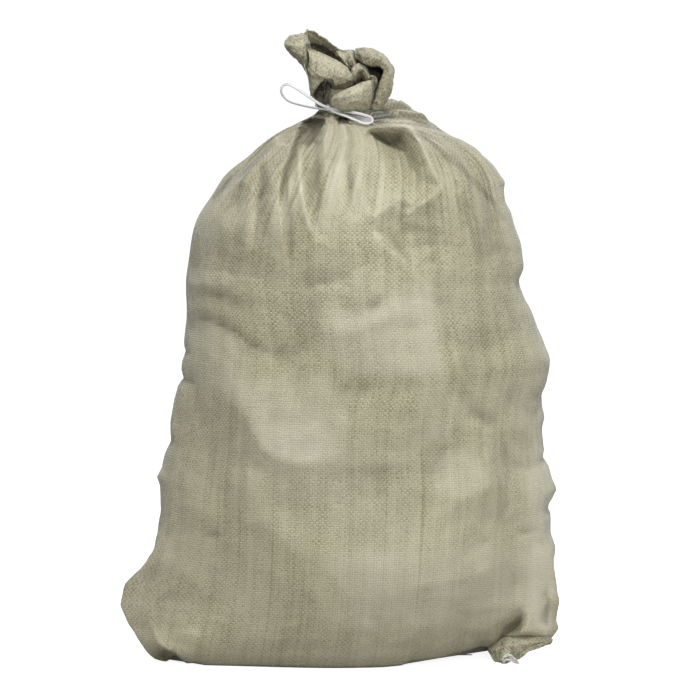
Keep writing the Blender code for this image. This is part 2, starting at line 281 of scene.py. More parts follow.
def tapeWeaveGroup():
    # plain weave of flat plastic tape, over one, under one
    tree, n, given, made = newGroup(
        "TapeWeave",
        [
            ("Cloth Place", vector, None),
            ("Warp Width", number, 0.0028),
            ("Weft Width", number, 0.0025),
            ("Wander", number, 1.7),
        ],
        [("Height", number), ("Gap", number), ("Warp On Top", number),
         ("Warp Tone", number), ("Weft Tone", number), ("Cell Tone", number),
         ("Fibre", number)],
    )
    across, along, _ = n.split(given["Cloth Place"])
    wobble = n.math("SUBTRACT", n.noise(given["Cloth Place"], 60, 3, 0.62), 0.5)
    drift = n.math("SUBTRACT", n.noise(given["Cloth Place"], 52, 3, 0.62), 0.5)
    s = n.math("ADD", n.math("DIVIDE", across, given["Warp Width"]),
               n.math("MULTIPLY", wobble, given["Wander"]))
    t = n.math("ADD", n.math("DIVIDE", along, given["Weft Width"]),
               n.math("MULTIPLY", drift, given["Wander"]))
    column, row = n.math("FLOOR", s), n.math("FLOOR", t)
    inS = n.math("SUBTRACT", n.math("MULTIPLY", n.math("FRACT", s), 2), 1)
    inT = n.math("SUBTRACT", n.math("MULTIPLY", n.math("FRACT", t), 2), 1)
    warpTop = n.math("GREATER_THAN", n.math("PINGPONG", n.math("ADD", column, row), 1), 0.5)
    crossing = n.math("MULTIPLY_ADD", warpTop, n.math("SUBTRACT", inS, inT), inT)
    lengthwise = n.math("MULTIPLY_ADD", warpTop, n.math("SUBTRACT", inT, inS), inS)
    # a tape is flat across and arched along its length
    flat = n.math("SUBTRACT", 1, n.math("POWER", n.math("ABSOLUTE", crossing), 4))
    arch = n.math("SUBTRACT", 1, n.math("POWER", n.math("ABSOLUTE", lengthwise), 2))
    n.link(n.math("MULTIPLY", flat, arch), made["Height"])
    side = n.math("POWER", n.math("ABSOLUTE", crossing), 6)
    end = n.math("POWER", n.math("ABSOLUTE", lengthwise), 5)
    n.link(n.math("MAXIMUM", n.math("MULTIPLY", side, 0.55), end), made["Gap"])
    n.link(warpTop, made["Warp On Top"])
    n.link(n.white(column), made["Warp Tone"])
    n.link(n.white(n.math("ADD", row, 531.5)), made["Weft Tone"])
    cell = n.math("ADD", n.math("MULTIPLY", column, 17.3), n.math("MULTIPLY", row, 3.7))
    n.link(n.white(cell), made["Cell Tone"])
    warpFibre = n.noise(n.stretched(given["Cloth Place"], clothLook["fibres"]), 1, 1)
    weftFibre = n.noise(n.stretched(given["Cloth Place"], clothLook["fibres"][::-1]), 1, 1)
    n.link(n.math("MULTIPLY_ADD", warpTop, n.math("SUBTRACT", warpFibre, weftFibre), weftFibre),
           made["Fibre"])
    return tree


def dustGroup():
    # cement dust and handling marks in broad soft patches
    tree, n, given, made = newGroup(
        "BuildingDust",
        [("Place", vector, None), ("Patch Size", number, 0.12), ("Amount", number, 1.0)],
        [("Dust", number), ("Stain", number), ("Speck", number)],
    )
    scale = n.math("DIVIDE", 1, given["Patch Size"])
    patches = n.noise(given["Place"], scale, 4, 0.55, 0.3)
    n.link(n.math("MULTIPLY", n.between(patches, 0.42, 0.72), given["Amount"]), made["Dust"])
    stains = n.noise(given["Place"], n.math("MULTIPLY", scale, 0.6), 3, 0.6, 0.6)
    n.link(n.math("MULTIPLY", n.between(stains, 0.5, 0.75), given["Amount"]), made["Stain"])
    specks = n.noise(given["Place"], n.math("MULTIPLY", scale, 22), 2, 0.5)
    n.link(n.between(specks, 0.70, 0.78), made["Speck"])
    return tree


clothLook = {
    "light": (0.525, 0.487, 0.325),
    "dark": (0.25, 0.225, 0.112),
    "gap": (0.085, 0.078, 0.038),
    "dust": (0.60, 0.575, 0.45),
    # colour of the painted sheen
    "paintedSheenTint": (0.64, 0.61, 0.47),
    "stain": (0.30, 0.27, 0.145),
    # how plainly the weave shows, in patches and by height
    "patches": (9, 3, 0.6, 0.4),
    "patchRange": (0.36, 0.62),
    "patchShift": (0.15, 0.45, -0.10, 0.02),
    "contrast": (0.42, 0.60),
    "lowLevels": (0.10, 0.42),
    "lowWeave": 0.62,
    # the weave shows more plainly under the painted shade and less under the painted sheen
    "paintedShadeContrast": 0.4,
    "paintedSheenContrast": 0.15,
    "uneven": (0.55, 1.3),
    "lines": 0.5,
    "lineRange": (0.52, 0.74),
    "lineLevels": (0.12, 0.36, 1, 0.3),
    "roughness": (0.30, 0.46),
    # colour of the painted shade
    "deep": (0.07, 0.062, 0.032),
    "grain": 0.66,
    "streaks": 0.42,
    "sheen": 0.22,
    # shares of the painted sheen, the painted shade and the painted shade in creases
    "paintedSheen": 0.5,
    "paintedShade": 0.38,
    "creaseShade": 0.5,
    # how much of its colour each of these mixes in
    "gapShare": 0.28,
    "dustShare": 0.28,
    "stainShare": 0.25,
    "speckShare": 0.3,
    # how much single tapes and fibres differ
    "tapes": {"Warp Tone": 0.20, "Weft Tone": 0.08, "Fibre": 0.4},
    "grainSize": (620, 380),
    "bundleSize": (78, 3),
    "lineSize": (250, 0.8),
    "gloss": 0.75,
    "sheenSpread": 0.4,
    "weaveDepth": 0.0004,
    "weaveBump": 0.9,
    "fibres": (2600, 140),
    "fibreBump": 0.3,
    "grainBump": 2.4,
}


groups = {"weave": tapeWeaveGroup(), "dust": dustGroup()}


def clothMaterial(name):
    paint, n, shader = newPaint(name)
    place = n.add("ShaderNodeUVMap", uv_map="cloth").outputs[0]
    solid = n.add("ShaderNodeTexCoord").outputs["Object"]
    weave = n.group(groups["weave"], **{"Cloth Place": place})
    dust = n.group(groups["dust"], Place=solid)
    colours = ("light", "dark", "gap", "dust", "paintedSheenTint", "stain", "deep")
    tints = {key: (*clothLook[key], 1) for key in colours}
    # where the tapes lie flat and tight the two sets look alike, elsewhere they stand out
    patches = n.noise(solid, *clothLook["patches"])
    level = n.split(solid)[2]
    patches = n.math("ADD", patches, n.between(level, *clothLook["patchShift"]))
    contrast = n.between(patches, *clothLook["patchRange"], *clothLook["contrast"])
    # the tight cloth low down shows its weave less
    low = n.between(level, *clothLook["lowLevels"], clothLook["lowWeave"], 1)
    contrast = n.math("MULTIPLY", contrast, low)
    # the tone on the mesh: painted sheen above zero and painted shade below it, with uneven tone on the
    # bunch
    tone = n.add("ShaderNodeAttribute", attribute_name="tone").outputs["Fac"]
    paintedSheen = n.math("MAXIMUM", tone, 0)
    paintedShade = n.math("MAXIMUM", n.math("MULTIPLY", tone, -1), 0)
    contrast = n.math("ADD", contrast, n.math("MULTIPLY", paintedShade, clothLook["paintedShadeContrast"]))
    contrast = n.math("SUBTRACT", contrast, n.math("MULTIPLY", paintedSheen, clothLook["paintedSheenContrast"]))
    weft = n.math("SUBTRACT", 1, weave["Warp On Top"])
    # no two crossings lie alike, and fuzz and dust blur the weave
    uneven = n.between(weave["Cell Tone"], 0, 1, *clothLook["uneven"])
    darker = n.math("MULTIPLY", n.math("MULTIPLY", weft, contrast), uneven)
    for label, share in clothLook["tapes"].items():
        darker = n.math("ADD", darker, n.math("MULTIPLY", n.math("SUBTRACT", 0.5, weave[label]), share))
    grain = n.noise(n.stretched(place, clothLook["grainSize"]), 1, 2, 0.6)
    darker = n.math("ADD", darker, n.between(grain, 0.25, 0.75, clothLook["grain"] / 2,
                                             -clothLook["grain"] / 2))
    # streaks that follow bundles of warp tapes
    bundle = n.noise(n.stretched(place, clothLook["bundleSize"]), 1, 3, 0.6)
    streaks = n.between(bundle, 0.3, 0.7, clothLook["streaks"] * 0.6, -clothLook["streaks"] * 0.4)
    darker = n.math("ADD", darker, streaks)
    # single dark tapes that run the whole height, plainest in the tight cloth low down
    single = n.noise(n.stretched(place, clothLook["lineSize"]), 1, 2, 0.7)
    single = n.between(single, *clothLook["lineRange"], 0, clothLook["lines"])
    single = n.math("MULTIPLY", single, n.between(level, *clothLook["lineLevels"]))
    darker = n.math("ADD", darker, single)
    base = n.mix(n.math("MAXIMUM", darker, 0), tints["light"], tints["dark"])
    # painted shade in the creases, stored on the mesh
    crease = n.add("ShaderNodeAttribute", attribute_name="crease").outputs["Fac"]
    # the painted sheen, the painted shade and the crease shade are mixed into the colour here, with the
    # weave's gaps, dust and stains
    layers = (
        (weave["Gap"], "gapShare", "gap"), (dust["Dust"], "dustShare", "dust"),
        (dust["Stain"], "stainShare", "stain"), (dust["Speck"], "speckShare", "gap"),
        (paintedSheen, "paintedSheen", "paintedSheenTint"), (paintedShade, "paintedShade", "deep"), (crease, "creaseShade", "gap"),
    )
    for mask, share, tint in layers:
        base = n.mix(n.math("MULTIPLY", mask, clothLook[share]), base, tints[tint])
    n.link(base, shader["Base Color"])
    rough = n.between(n.math("ADD", n.math("MULTIPLY", dust["Dust"], 0.5), weave["Fibre"]),
                      0.3, 1.0, *clothLook["roughness"])
    n.link(n.math("ADD", rough, n.math("MULTIPLY", weave["Gap"], 0.2)), shader["Roughness"])
    shader["Specular IOR Level"].default_value = clothLook["gloss"]
    shader["Sheen Weight"].default_value = clothLook["sheen"]
    shader["Sheen Roughness"].default_value = clothLook["sheenSpread"]
    height = n.math("ADD", weave["Height"], n.math("MULTIPLY", weave["Fibre"], clothLook["fibreBump"]))
    height = n.math("ADD", height, n.math("MULTIPLY", grain, clothLook["grainBump"]))
    n.bump(height, clothLook["weaveDepth"], shader["Normal"], clothLook["weaveBump"])
    return paint


stringLook = {
    "dark": (0.55, 0.55, 0.56),
    "light": (0.82, 0.82, 0.83),
    "strands": (2600, 90),
    "roughness": (0.22, 0.42),
    "depth": 0.0003,
}

threadLook = {
    "dark": (0.55, 0.53, 0.46),
    "light": (0.86, 0.85, 0.80),
    "twist": 900,
    "roughness": (0.75, 0.6),
    "depth": 0.0002,
}


def stringMaterial():
    paint, n, shader = newPaint("tieString")
    place = n.add("ShaderNodeUVMap", uv_map="cloth").outputs[0]
    strands = n.noise(n.stretched(place, stringLook["strands"]), 1, 2)
    tint = n.mix(n.between(strands, 0.35, 0.65), (*stringLook["dark"], 1), (*stringLook["light"], 1))
    n.link(tint, shader["Base Color"])
    n.link(n.between(strands, 0.2, 0.8, *stringLook["roughness"]), shader["Roughness"])
    n.bump(strands, stringLook["depth"], shader["Normal"])
    return paint


def threadMaterial():
    paint, n, shader = newPaint("seamThread")
    twist = n.noise(n.add("ShaderNodeTexCoord").outputs["Object"], threadLook["twist"], 2)
    n.link(n.mix(twist, (*threadLook["dark"], 1), (*threadLook["light"], 1)), shader["Base Color"])
    n.link(n.between(twist, 0.2, 0.8, *threadLook["roughness"]), shader["Roughness"])
    n.bump(twist, threadLook["depth"], shader["Normal"])
    return paint


paints = {
    "cloth": clothMaterial("wovenCloth"),
    "string": stringMaterial(),
    "thread": threadMaterial(),
}


def gridMesh(name, points, uvs, closed, material):
    # a mesh over rows of points, and rows of cloth places for each corner of each face
    rows, columns = len(points), len(points[0])
    verts = [tuple(p) for row in points for p in row]
    faces = []
    corners = []
    span = columns if closed else columns - 1
    for r in range(rows - 1):
        for c in range(span):
            n = (c + 1) % columns
            faces.append((r * columns + c, r * columns + n,
                          (r + 1) * columns + n, (r + 1) * columns + c))
            corners.append(uvs(r, c))
    mesh = bpy.data.meshes.new(name)
    mesh.from_pydata(verts, [], faces)
    layer = mesh.uv_layers.new(name="cloth")
    flat = np.array(corners, dtype=np.float32).reshape(-1)
    layer.data.foreach_set("uv", flat)
    mesh.polygons.foreach_set("use_smooth", [True] * len(mesh.polygons))
    mesh.materials.append(material)
    made = bpy.data.objects.new(name, mesh)
    bpy.context.scene.collection.objects.link(made)
    return made


def capped(made, inset=0.0):
    # closes a tube's open ends; an inset lays the face with the lowest middle on the floor,
    # that far in: where the rim is lifted, this is a small face of the foot, not the base
    work = bmesh.new()
    work.from_mesh(made.data)
    bmesh.ops.holes_fill(work, edges=[e for e in work.edges if e.is_boundary])
    if inset:
        base = min(work.faces, key=lambda face: face.calc_center_median().z)
        bmesh.ops.inset_individual(work, faces=[base], thickness=inset)
        for vertex in base.verts:
            vertex.co.z = 0
    bmesh.ops.recalc_face_normals(work, faces=work.faces)
    work.to_mesh(made.data)
    work.free()


def placed(made, node):
    # every piece is on the one body, in place of its solid
    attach(made, "root")
    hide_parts(node)


# the sack's skin

sack = {
    "frontColumns": 300,
    "backColumns": 90,
    # spacing of the rows: the belly, the gathers, the foot
    "rowStep": (0.0052, 0.0021, 0.0030),
    # heights between which they close up: into the gathers, and down to the foot
    "tightRows": (0.38, 0.46),
    "footRows": (0.04, 0.08),
    "heightSamples": 1500,
    "columnCalm": 12,
    "tapeCalm": 16,
    # heights between which the gathers grow, and between which the skin ends under the tie
    "gatherFrom": 0.44,
    "gatherFull": 0.58,
    "underTie": (0.606, 0.614),
    "creaseDepth": 0.0024,
    "panels": 24,
    # height, left side, right side, half depth, middle's y
    "profile": [
        (0.000, -0.186, 0.190, 0.106, 0.000),
        (0.004, -0.195, 0.200, 0.112, 0.000),
        (0.018, -0.203, 0.214, 0.122, 0.000),
        (0.050, -0.206, 0.226, 0.136, 0.000),
        (0.085, -0.207, 0.233, 0.142, 0.000),
        (0.124, -0.208, 0.238, 0.142, 0.000),
        (0.193, -0.207, 0.243, 0.138, 0.000),
        (0.238, -0.196, 0.232, 0.138, 0.000),
        (0.284, -0.188, 0.229, 0.141, 0.000),
        (0.330, -0.182, 0.237, 0.144, 0.001),
        (0.376, -0.176, 0.223, 0.148, 0.002),
        (0.422, -0.176, 0.211, 0.153, 0.003),
        (0.445, -0.173, 0.208, 0.155, 0.003),
        (0.491, -0.165, 0.197, 0.153, 0.004),
        (0.525, -0.144, 0.186, 0.143, 0.004),
        (0.548, -0.128, 0.178, 0.130, 0.003),
        (0.571, -0.100, 0.156, 0.108, 0.000),
        (0.590, -0.072, 0.120, 0.078, -0.004),
        (0.601, -0.050, 0.078, 0.052, -0.010),
        (0.608, -0.027, 0.034, 0.024, -0.018),
        (0.615, -0.024, 0.032, 0.022, -0.018),
        (0.622, -0.026, 0.034, 0.024, -0.018),
        (0.632, -0.028, 0.034, 0.026, -0.020),
        (0.645, -0.022, 0.028, 0.022, -0.020),
    ],
    "leftEar": (-157, 26, [
        (0.000, 0.024), (0.004, 0.029), (0.018, 0.035), (0.041, 0.050), (0.062, 0.059),
        (0.084, 0.056), (0.102, 0.038), (0.120, 0.022), (0.145, 0.008), (0.180, 0.000),
    ]),
    "rightEar": (-23, 24, [
        (0.000, 0.006), (0.004, 0.020), (0.018, 0.040), (0.033, 0.043), (0.041, 0.038),
        (0.052, 0.036), (0.065, 0.036), (0.080, 0.031), (0.095, 0.024), (0.130, 0.011),
        (0.180, 0.000),
    ]),
    "earSharpness": 1.4,
    # direction, height, spread round, spread up, push
    "lumps": [
        (-112, 0.390, 26, 0.060, 0.006), (-62, 0.320, 24, 0.055, 0.005),
        (-128, 0.190, 24, 0.060, 0.004), (-82, 0.120, 30, 0.060, 0.004),
        (-40, 0.180, 22, 0.050, 0.004), (48, 0.310, 26, 0.070, 0.006),
        (96, 0.190, 28, 0.070, 0.005), (128, 0.380, 24, 0.060, 0.006),
        (88, 0.450, 30, 0.050, 0.005),
    ],
    # direction, spread round, height, spread up, lift
    "backRidge": (67, 34, 0.592, 0.014, 0.036),
    # the short notch in the right side: direction, spread round, height, spread up, depth
    "notch": (-4, 16, 0.421, 0.013, 0.009),
    # small bulges and nicks of the two sides: direction, height, spread up, push in mm
    "edgeSpread": 24,
    "edges": [
        (180, 0.564, 0.012, -3), (180, 0.344, 0.006, -4), (180, 0.314, 0.006, -5),
        (180, 0.241, 0.010, -4), (180, 0.200, 0.006, 4), (180, 0.164, 0.012, -3),
        (180, 0.103, 0.010, -4), (0, 0.537, 0.006, 2.5), (0, 0.514, 0.008, -2.5),
        (0, 0.468, 0.014, 2), (0, 0.403, 0.010, -5), (0, 0.337, 0.008, 2.5),
        (0, 0.296, 0.008, -2.5), (0, 0.268, 0.008, 2.5), (0, 0.221, 0.006, -4),
        (0, 0.186, 0.008, 5), (0, 0.166, 0.005, -4), (0, 0.119, 0.012, 6),
        (0, 0.076, 0.010, -6),
    ],
    # where the left corner and the front of the foot reach forward on the floor:
    # direction, reach, height, spread round
    "footForward": [(-157, 0.040, 0.10, 30), (-95, 0.012, 0.08, 50)],
    # how far the front's bottom edge is lifted off the floor: picture x, mm
    "rimLift": [(150, 0), (162, 0), (167, 4), (171, 10), (175, 6), (183, 1), (192, 2), (202, 0), (240, 0),
        (255, 0), (385, 0), (402, 1), (412, 5), (440, 6), (455, 9), (470, 11), (484, 14), (496, 8),
        (510, 4), (545, 2), (560, 0)],
    "rimHeight": 0.045,
    "rimFront": -0.02,
    "baseInset": 0.010,
    "neck": (0.004, -0.018, 0.615),
    # degrees that the neck leans, how far below it the lean starts and is full, and how wide
    "neckSlope": 17,
    "leanBelow": (0.016, 0.002),
    "leanWidth": 0.06,
    # gathers drawn at random round the back: how many, from which direction on, over how
    # many degrees, then the least and most of each
    "pleatSeed": 7,
    "pleatCount": 17,
    "pleatsFrom": -20,
    "pleatsOver": 220,
    "pleatFoot": (0.36, 0.50),
    "pleatDepth": (0.003, 0.0065),
    "pleatBend": (-10, 10),
    "pleatWidth": (3.6, 5.6),
    # height of their upper ends, height over which they bend, and how much closer they run below
    "pleatTop": 0.6,
    "pleatRun": 0.2,
    "pleatFull": 0.57,
    "pleatCloser": ([0.3, 0.6], [1.6, 1.0]),
    # waves and creases of the gathered cloth: depth, how close round and up
    "gatherWave": (0.0013, (13, 13, 9)),
    "gatherCrease": (0.0010, (34, 34, 7)),
    # painted sheen and painted shade: pale and dark streaks along the gathers: strength, how close
    "streaks": [(0.8, (30, 30, 5)), (0.5, (66, 66, 5))],
    # uneven filling: depth, how close, layers, whether it is creased
    "dents": [(0.0030, 9, 1, False), (0.0016, 24, 1, False), (0.0010, 30, 2, True)],
    # how the front's folds, its painted sheen and shade and the ridge's painted shade end at the
    # outline: how squarely the cloth has to face the camera for its full share, and the furthest y
    "foldReach": (0.25, 0.02),
    "toneReach": (0.08, 0.02),
    "ridgeReach": (0.20, 0.12),
    "edgeOn": -0.03,
    # the same for moves towards the camera, and for the gathers above calmFrom
    "moveFade": (0.02, 0.24),
    "calmFade": (0.0, 0.30),
    "calmFrom": (0.40, 0.50),
    # shares of a crease's length where it has grown in and starts to run out, and its least depth
    "creaseGrown": (-0.02, 0.15),
    "creaseOut": (0.80, 1.02),
    "creaseLeast": 0.1,
    "foldStep": 4,  # picture pixels between the points of a fold line
    "creaseReach": 0.007,
    "toneWander": (0.0012, 70),
}

# the folds of the front, as lines of places: picture x, picture y, how far the cloth
# stands out there in mm; between the lines the cloth runs in flat facets
folds = {
    "shoulders": {
        "softness": 0.0010,
        "strength": 1.15,
        "lines": {
            "neck edge": [(292, 119, 0), (304, 115, 0), (325, 112, 0), (350, 113, 0), (372, 118, 0),
                (388, 112, 0), (404, 105, 0)],
            "left outline": [(282, 129, 1), (266, 141, 2), (247, 156, 2), (228, 172, 2), (213, 190, 1),
                (200, 212, 0), (192, 250, 0), (186, 300, 0)],
            "right outline": [(430, 120, 0), (470, 144, 0), (494, 168, 0), (505, 200, 0), (517, 240, 0),
                (520, 270, 0), (516, 300, 0)],
            "lower edge": [(200, 300, 0), (245, 302, 0), (290, 300, 0), (340, 300, 0), (390, 300, 0),
                (440, 300, 0), (490, 300, 0)],
            "roll groove": [(300, 122, -2), (284, 132, -7), (272, 142, -10), (260, 153.5, -12),
                (246, 167, -12), (234, 178, -10), (219, 193, -7), (207, 206, -2)],
            "roll foot": [(276, 148, 4), (264, 159, 5), (250, 173, 5), (237, 185, 5), (223, 199, 3)],
            "left ridge": [(299, 124, 6), (296, 136, 6), (291, 150, 5), (286, 162, 5), (281.5, 174, 6),
                (279, 188, 7), (280, 205, 7), (281, 225, 6), (282, 245, 4), (283, 266, 1),
                (283.5, 280, 0)],
            "left groove": [(303, 129, -12), (300, 139, -20), (296, 151, -20), (291, 163, -14),
                (287, 175, -9), (285, 188, -6), (286, 203, -5), (288, 222, -5), (290, 244, -4),
                (291, 264, -2)],
            "inner ridge": [(304, 147, -13), (301, 160, -8), (301, 175, -3), (302, 188, 1), (304, 208, 3),
                (309, 227, 3), (313, 241, 1)],
            "inner groove": [(310, 147, -24), (308, 160, -18), (308, 175, -13), (310, 190, -8),
                (313, 206, -4), (318, 226, -2)],
            "pocket lip": [(299, 121.5, 6), (307, 119, 10), (317, 119, 10), (325, 120.5, 5)],
            "pocket back": [(306, 125, -18), (314, 124.5, -22), (321, 125, -16)],
            "pocket floor": [(307, 133, -26), (313, 134, -30), (318, 134, -22)],
            "pocket foot": [(309, 140, -26), (313, 141, -28)],
            "tongue left": [(328, 122, -2), (325, 135, -10), (323.5, 150, -13), (323.5, 165, -11),
                (324, 180, -8), (325, 195, -5), (325, 206, -3), (322, 218, -2), (319, 232, -1)],
            "tongue foot": [(318, 147, -27), (317.5, 160, -23), (317, 175, -17), (318, 190, -12),
                (319, 203, -7), (318, 215, -4)],
            "tongue crest": [(336, 117, 1), (337, 130, -8), (338, 150, -12), (338, 170, -9),
                (339, 190, -4), (341, 210, 0), (342, 230, 2), (344, 255, 2)],
            "tongue groove": [(347, 130, -12), (347, 152, -16), (348, 170, -14), (350, 190, -8),
                (351, 210, -2)],
            "tongue crest two": [(352, 118, 1), (356, 135, -9), (358, 152, -12), (358, 170, -9),
                (360, 190, -4), (362, 206, 0), (366, 220, 1)],
            "tongue dent": [(365, 140, -14), (367, 157, -16), (367, 174, -13), (368, 190, -8),
                (370, 204, -3)],
            "tongue right": [(373, 141, -17), (379, 151, -17), (383, 162, -14), (387, 175, -10),
                (391, 186, -6), (396, 194, -3), (400, 198.5, -1)],
            "fold lip": [(368, 131.5, -6), (375, 130.5, 2), (382, 129.5, 9), (390, 128.5, 14),
                (399, 128, 18), (406, 129, 22), (411.5, 131, 24)],
            "fold back": [(372, 125, -2), (386, 122, 2), (400, 121, 5), (414, 124, 8)],
            "fold ridge": [(411.5, 131, 24), (415, 138, 16), (419, 146, 10), (423, 154, 7), (426, 161, 6),
                (430, 168, 6), (433, 175, 7), (437, 182, 7), (441, 188, 7)],
            "fold outside": [(420, 130, 12), (429, 145, 5), (437, 160, 3), (445, 174, 2), (451, 188, 2)],
            "fold valley": [(369, 134.5, -12), (376, 139, -26), (383, 143.5, -34), (390, 147, -36),
                (396, 149.5, -35), (403, 154, -28), (409, 163, -21), (414, 173, -14), (421, 180, -8),
                (430, 184.5, -2), (438, 187, 4)],
            "fold hollow": [(399, 141, -22), (408, 150, -14), (415, 161, -8)],
            "low crease": [(441, 188, 9), (432, 195, 7), (424, 202, 5), (415, 208, 3), (407, 213, 2)],
            "low crease foot": [(443, 194, 6), (434, 201, 4), (425, 208, 2), (416, 213, 0.5), (408, 218, 0)],
            "mid crease": [(400, 198.5, -1), (392, 203.5, 0), (385, 209, 1), (378, 214, 2),
                (371, 219, 2)],
            "mid crease foot": [(399, 203, -2.5), (391, 209, -1.5), (383, 216, -1), (374, 223, 0)],
            "facet split": [(404, 208, -3), (401, 218, -5), (399, 231, -7), (399, 246, -7)],
            "facet middle": [(428, 212, -1), (429, 226, -5), (430, 245, -9)],
            "facet right": [(455, 200, 3), (458, 225, 0), (460, 250, -3)],
            "light band": [(370, 231, 1), (380, 240, 2), (390, 249, 3), (400, 258, 3), (411, 273, 2)],
            "light band foot": [(379, 231, -4), (389, 240, -5), (398, 251, -5), (409, 263, -3)],
            "shoulder band": [(266, 165, 4), (272, 188, 7), (272, 220, 7), (273, 244, 4), (274, 266, 1)],
            "shoulder groove": [(264, 170, -2), (262, 182, -3), (259, 202, -4), (257, 222, -3),
                (256, 242, -1), (256, 262, 0)],
            "shoulder facet": [(252, 180, 2), (248, 205, 2), (246, 232, 1), (246, 254, 0)],
            "side groove": [(239, 190, -2), (238, 203, -3), (236, 222, -2), (234, 240, -1), (234, 258, 0)],
            "side ridge": [(228, 198, 2), (224, 215, 2), (221, 238, 1), (219, 256, 0)],
            "side dip": [(213, 212, -1), (208, 232, -2), (205, 252, -1), (203, 268, 0)],
            "right gather one": [(424, 131, 6), (447, 150, 3), (465, 176, 2), (474, 205, 2),
                (477, 245, 2)],
            "right gather two": [(430, 127, 2), (456, 149, -1), (476, 176, -2), (486, 205, -2),
                (489, 245, -2)],
            "right gather three": [(440, 128, 3), (468, 150, 2), (486, 174, 2), (496, 203, 2),
                (503, 240, 2)],
            "right gather four": [(440, 158, 5), (455, 182, 1), (464, 210, -2), (466, 245, -2)],
        },
    },
    "belly": {
        "softness": 0.0015,
        "strength": 1.3,
        "lines": {
            "upper edge": [(196, 236, 0), (250, 232, 0), (300, 236, 0), (350, 250, 0), (400, 270, 0),
                (450, 255, 0), (500, 245, 0), (518, 250, 0)],
            "left outline": [(192, 250, 0), (187, 270, 0), (187, 330, 0), (185, 360, 0), (172, 410, 0),
                (163, 450, 0), (160, 500, 0), (157, 545, 0), (124, 585, 0), (122, 610, 0), (140, 645, 0)],
            "right outline": [(520, 270, 0), (530, 310, 0), (545, 350, 0), (543, 400, 0), (544, 450, 0),
                (553, 490, 0), (553, 540, 0), (556, 590, 0), (556, 630, 0)],
            "bottom edge": [(158, 662, 0), (210, 664, 0), (260, 668, 0), (320, 668, 0), (380, 668, 0),
                (430, 660, 0), (490, 650, 0), (540, 645, 0)],
            "top valley": [(192, 267, -3), (215, 268, -4), (240, 272, -5), (265, 277, -6), (285, 283, -6),
                (305, 285, -5), (325, 283, -3), (340, 281, -1)],
            "left ridge": [(188, 286, 2), (205, 285, 2), (225, 290, 1.5), (245, 297, 0)],
            "left valley": [(188, 297, -2), (206, 296, -3), (226, 300, -3.5), (245, 307, -3)],
            "left ridge two": [(188, 311, 2.5), (205, 310, 2.5), (222, 315, 2), (238, 324, 1.5),
                (252, 335, 1)],
            "left crease": [(188, 319, 0), (205, 320, -1), (222, 324, -1), (238, 332, -1),
                (252, 342, -0.5), (265, 347, 0), (276, 354, 0)],
            "left face": [(196, 340, 3), (230, 350, 4), (262, 372, 5), (290, 380, 5)],
            "left crest": [(205, 350, 5), (225, 375, 8), (240, 400, 10), (252, 428, 12), (262, 447, 13)],
            "left hollow": [(190, 376, -2), (198, 400, -4), (205, 430, -5), (213, 460, -4), (221, 490, 0),
                (230, 516, 4), (248, 540, 6)],
            "left side": [(178, 420, -1), (176, 455, 0), (180, 480, 0)],
            "bulge left": [(262, 447, 13), (254, 464, 8), (250, 478, 9), (256, 505, 10), (269, 526, 10),
                (290, 541, 10), (312, 560, 10), (335, 579, 9), (356, 601, 8)],
            "bulge right": [(356, 601, 8), (390, 597, 9), (410, 590, 10), (450, 582, 10), (490, 572, 8),
                (515, 556, 4)],
            "bulge foot": [(225, 545, 3), (250, 570, 4), (285, 600, 5), (325, 618, 5), (380, 622, 5),
                (430, 614, 5), (480, 602, 4), (515, 590, 1)],
            "low left": [(170, 560, 2), (200, 590, 3), (220, 620, 3)],
            "skirt": [(240, 645, 0), (300, 650, 0), (360, 652, 0), (420, 644, 0), (470, 634, -1)],
            "right lobe": [(478, 425, 4), (482, 445, 8), (486, 462, 10), (489, 480, 11), (484, 491, 11),
                (462, 501, 10), (440, 508, 8)],
            "right lobe foot": [(500, 430, -1), (505, 450, -1), (508, 470, -1), (508, 492, -1),
                (500, 515, 0)],
            "under lobe": [(478, 512, 6.5), (455, 520, 7), (430, 524, 7)],
            "lobe top": [(440, 395, 6), (455, 420, 8), (440, 450, 6)],
            "right side": [(528, 430, 2), (538, 470, 2), (538, 505, 2), (534, 540, 0)],
            "diamond": [(470, 322, 3), (463, 336, 5), (456, 358, 7), (447, 380, 7), (420, 387, 5)],
            "diamond low": [(476, 352, 0), (474, 372, -2), (468, 395, -2), (482, 420, -2),
                (500, 395, -1)],
            "diamond side": [(520, 335, 2), (532, 365, 3), (522, 400, 2)],
            "right face": [(440, 300, 1), (470, 296, 0), (500, 300, 0)],
            "smile crest": [(336, 290, 4), (350, 295, 4.5), (362, 299, 4.5), (376, 295, 4),
                (390, 288, 3)],
            "smile": [(340, 302, 3), (352, 308, 3), (364, 310, 3), (377, 305, 3)],
            "second crest": [(330, 336, 6), (352, 332, 7), (372, 324, 7.5), (392, 317, 7.5),
                (410, 319, 6)],
            "second smile": [(352, 340, 5), (372, 333, 5), (392, 326, 5), (412, 328, 5)],
            "facet edge": [(322, 292, 2), (322, 310, 4), (320, 330, 5), (320, 350, 5)],
            "facet side": [(308, 296, -2), (303, 320, -1), (301, 345, 0)],
            "facet far": [(285, 300, -5), (281, 325, -3), (284, 350, -1)],
            "column": [(428, 290, 4), (430, 320, 6), (428, 350, 7), (424, 375, 7)],
            "centre crest": [(345, 372, 5), (362, 371, 5), (380, 373, 5)],
            "centre dip": [(350, 388, 3), (365, 391, 2.5), (382, 388, 3)],
            "plateau edge": [(262, 447, 13), (275, 456, 13), (292, 461, 12), (312, 463, 10),
                (332, 458, 8)],
            "plateau foot": [(275, 468, 10.5), (292, 473, 10), (312, 476, 9), (335, 472, 7.5)],
            "plateau": [(270, 410, 9), (295, 400, 8), (325, 405, 7), (330, 435, 7)],
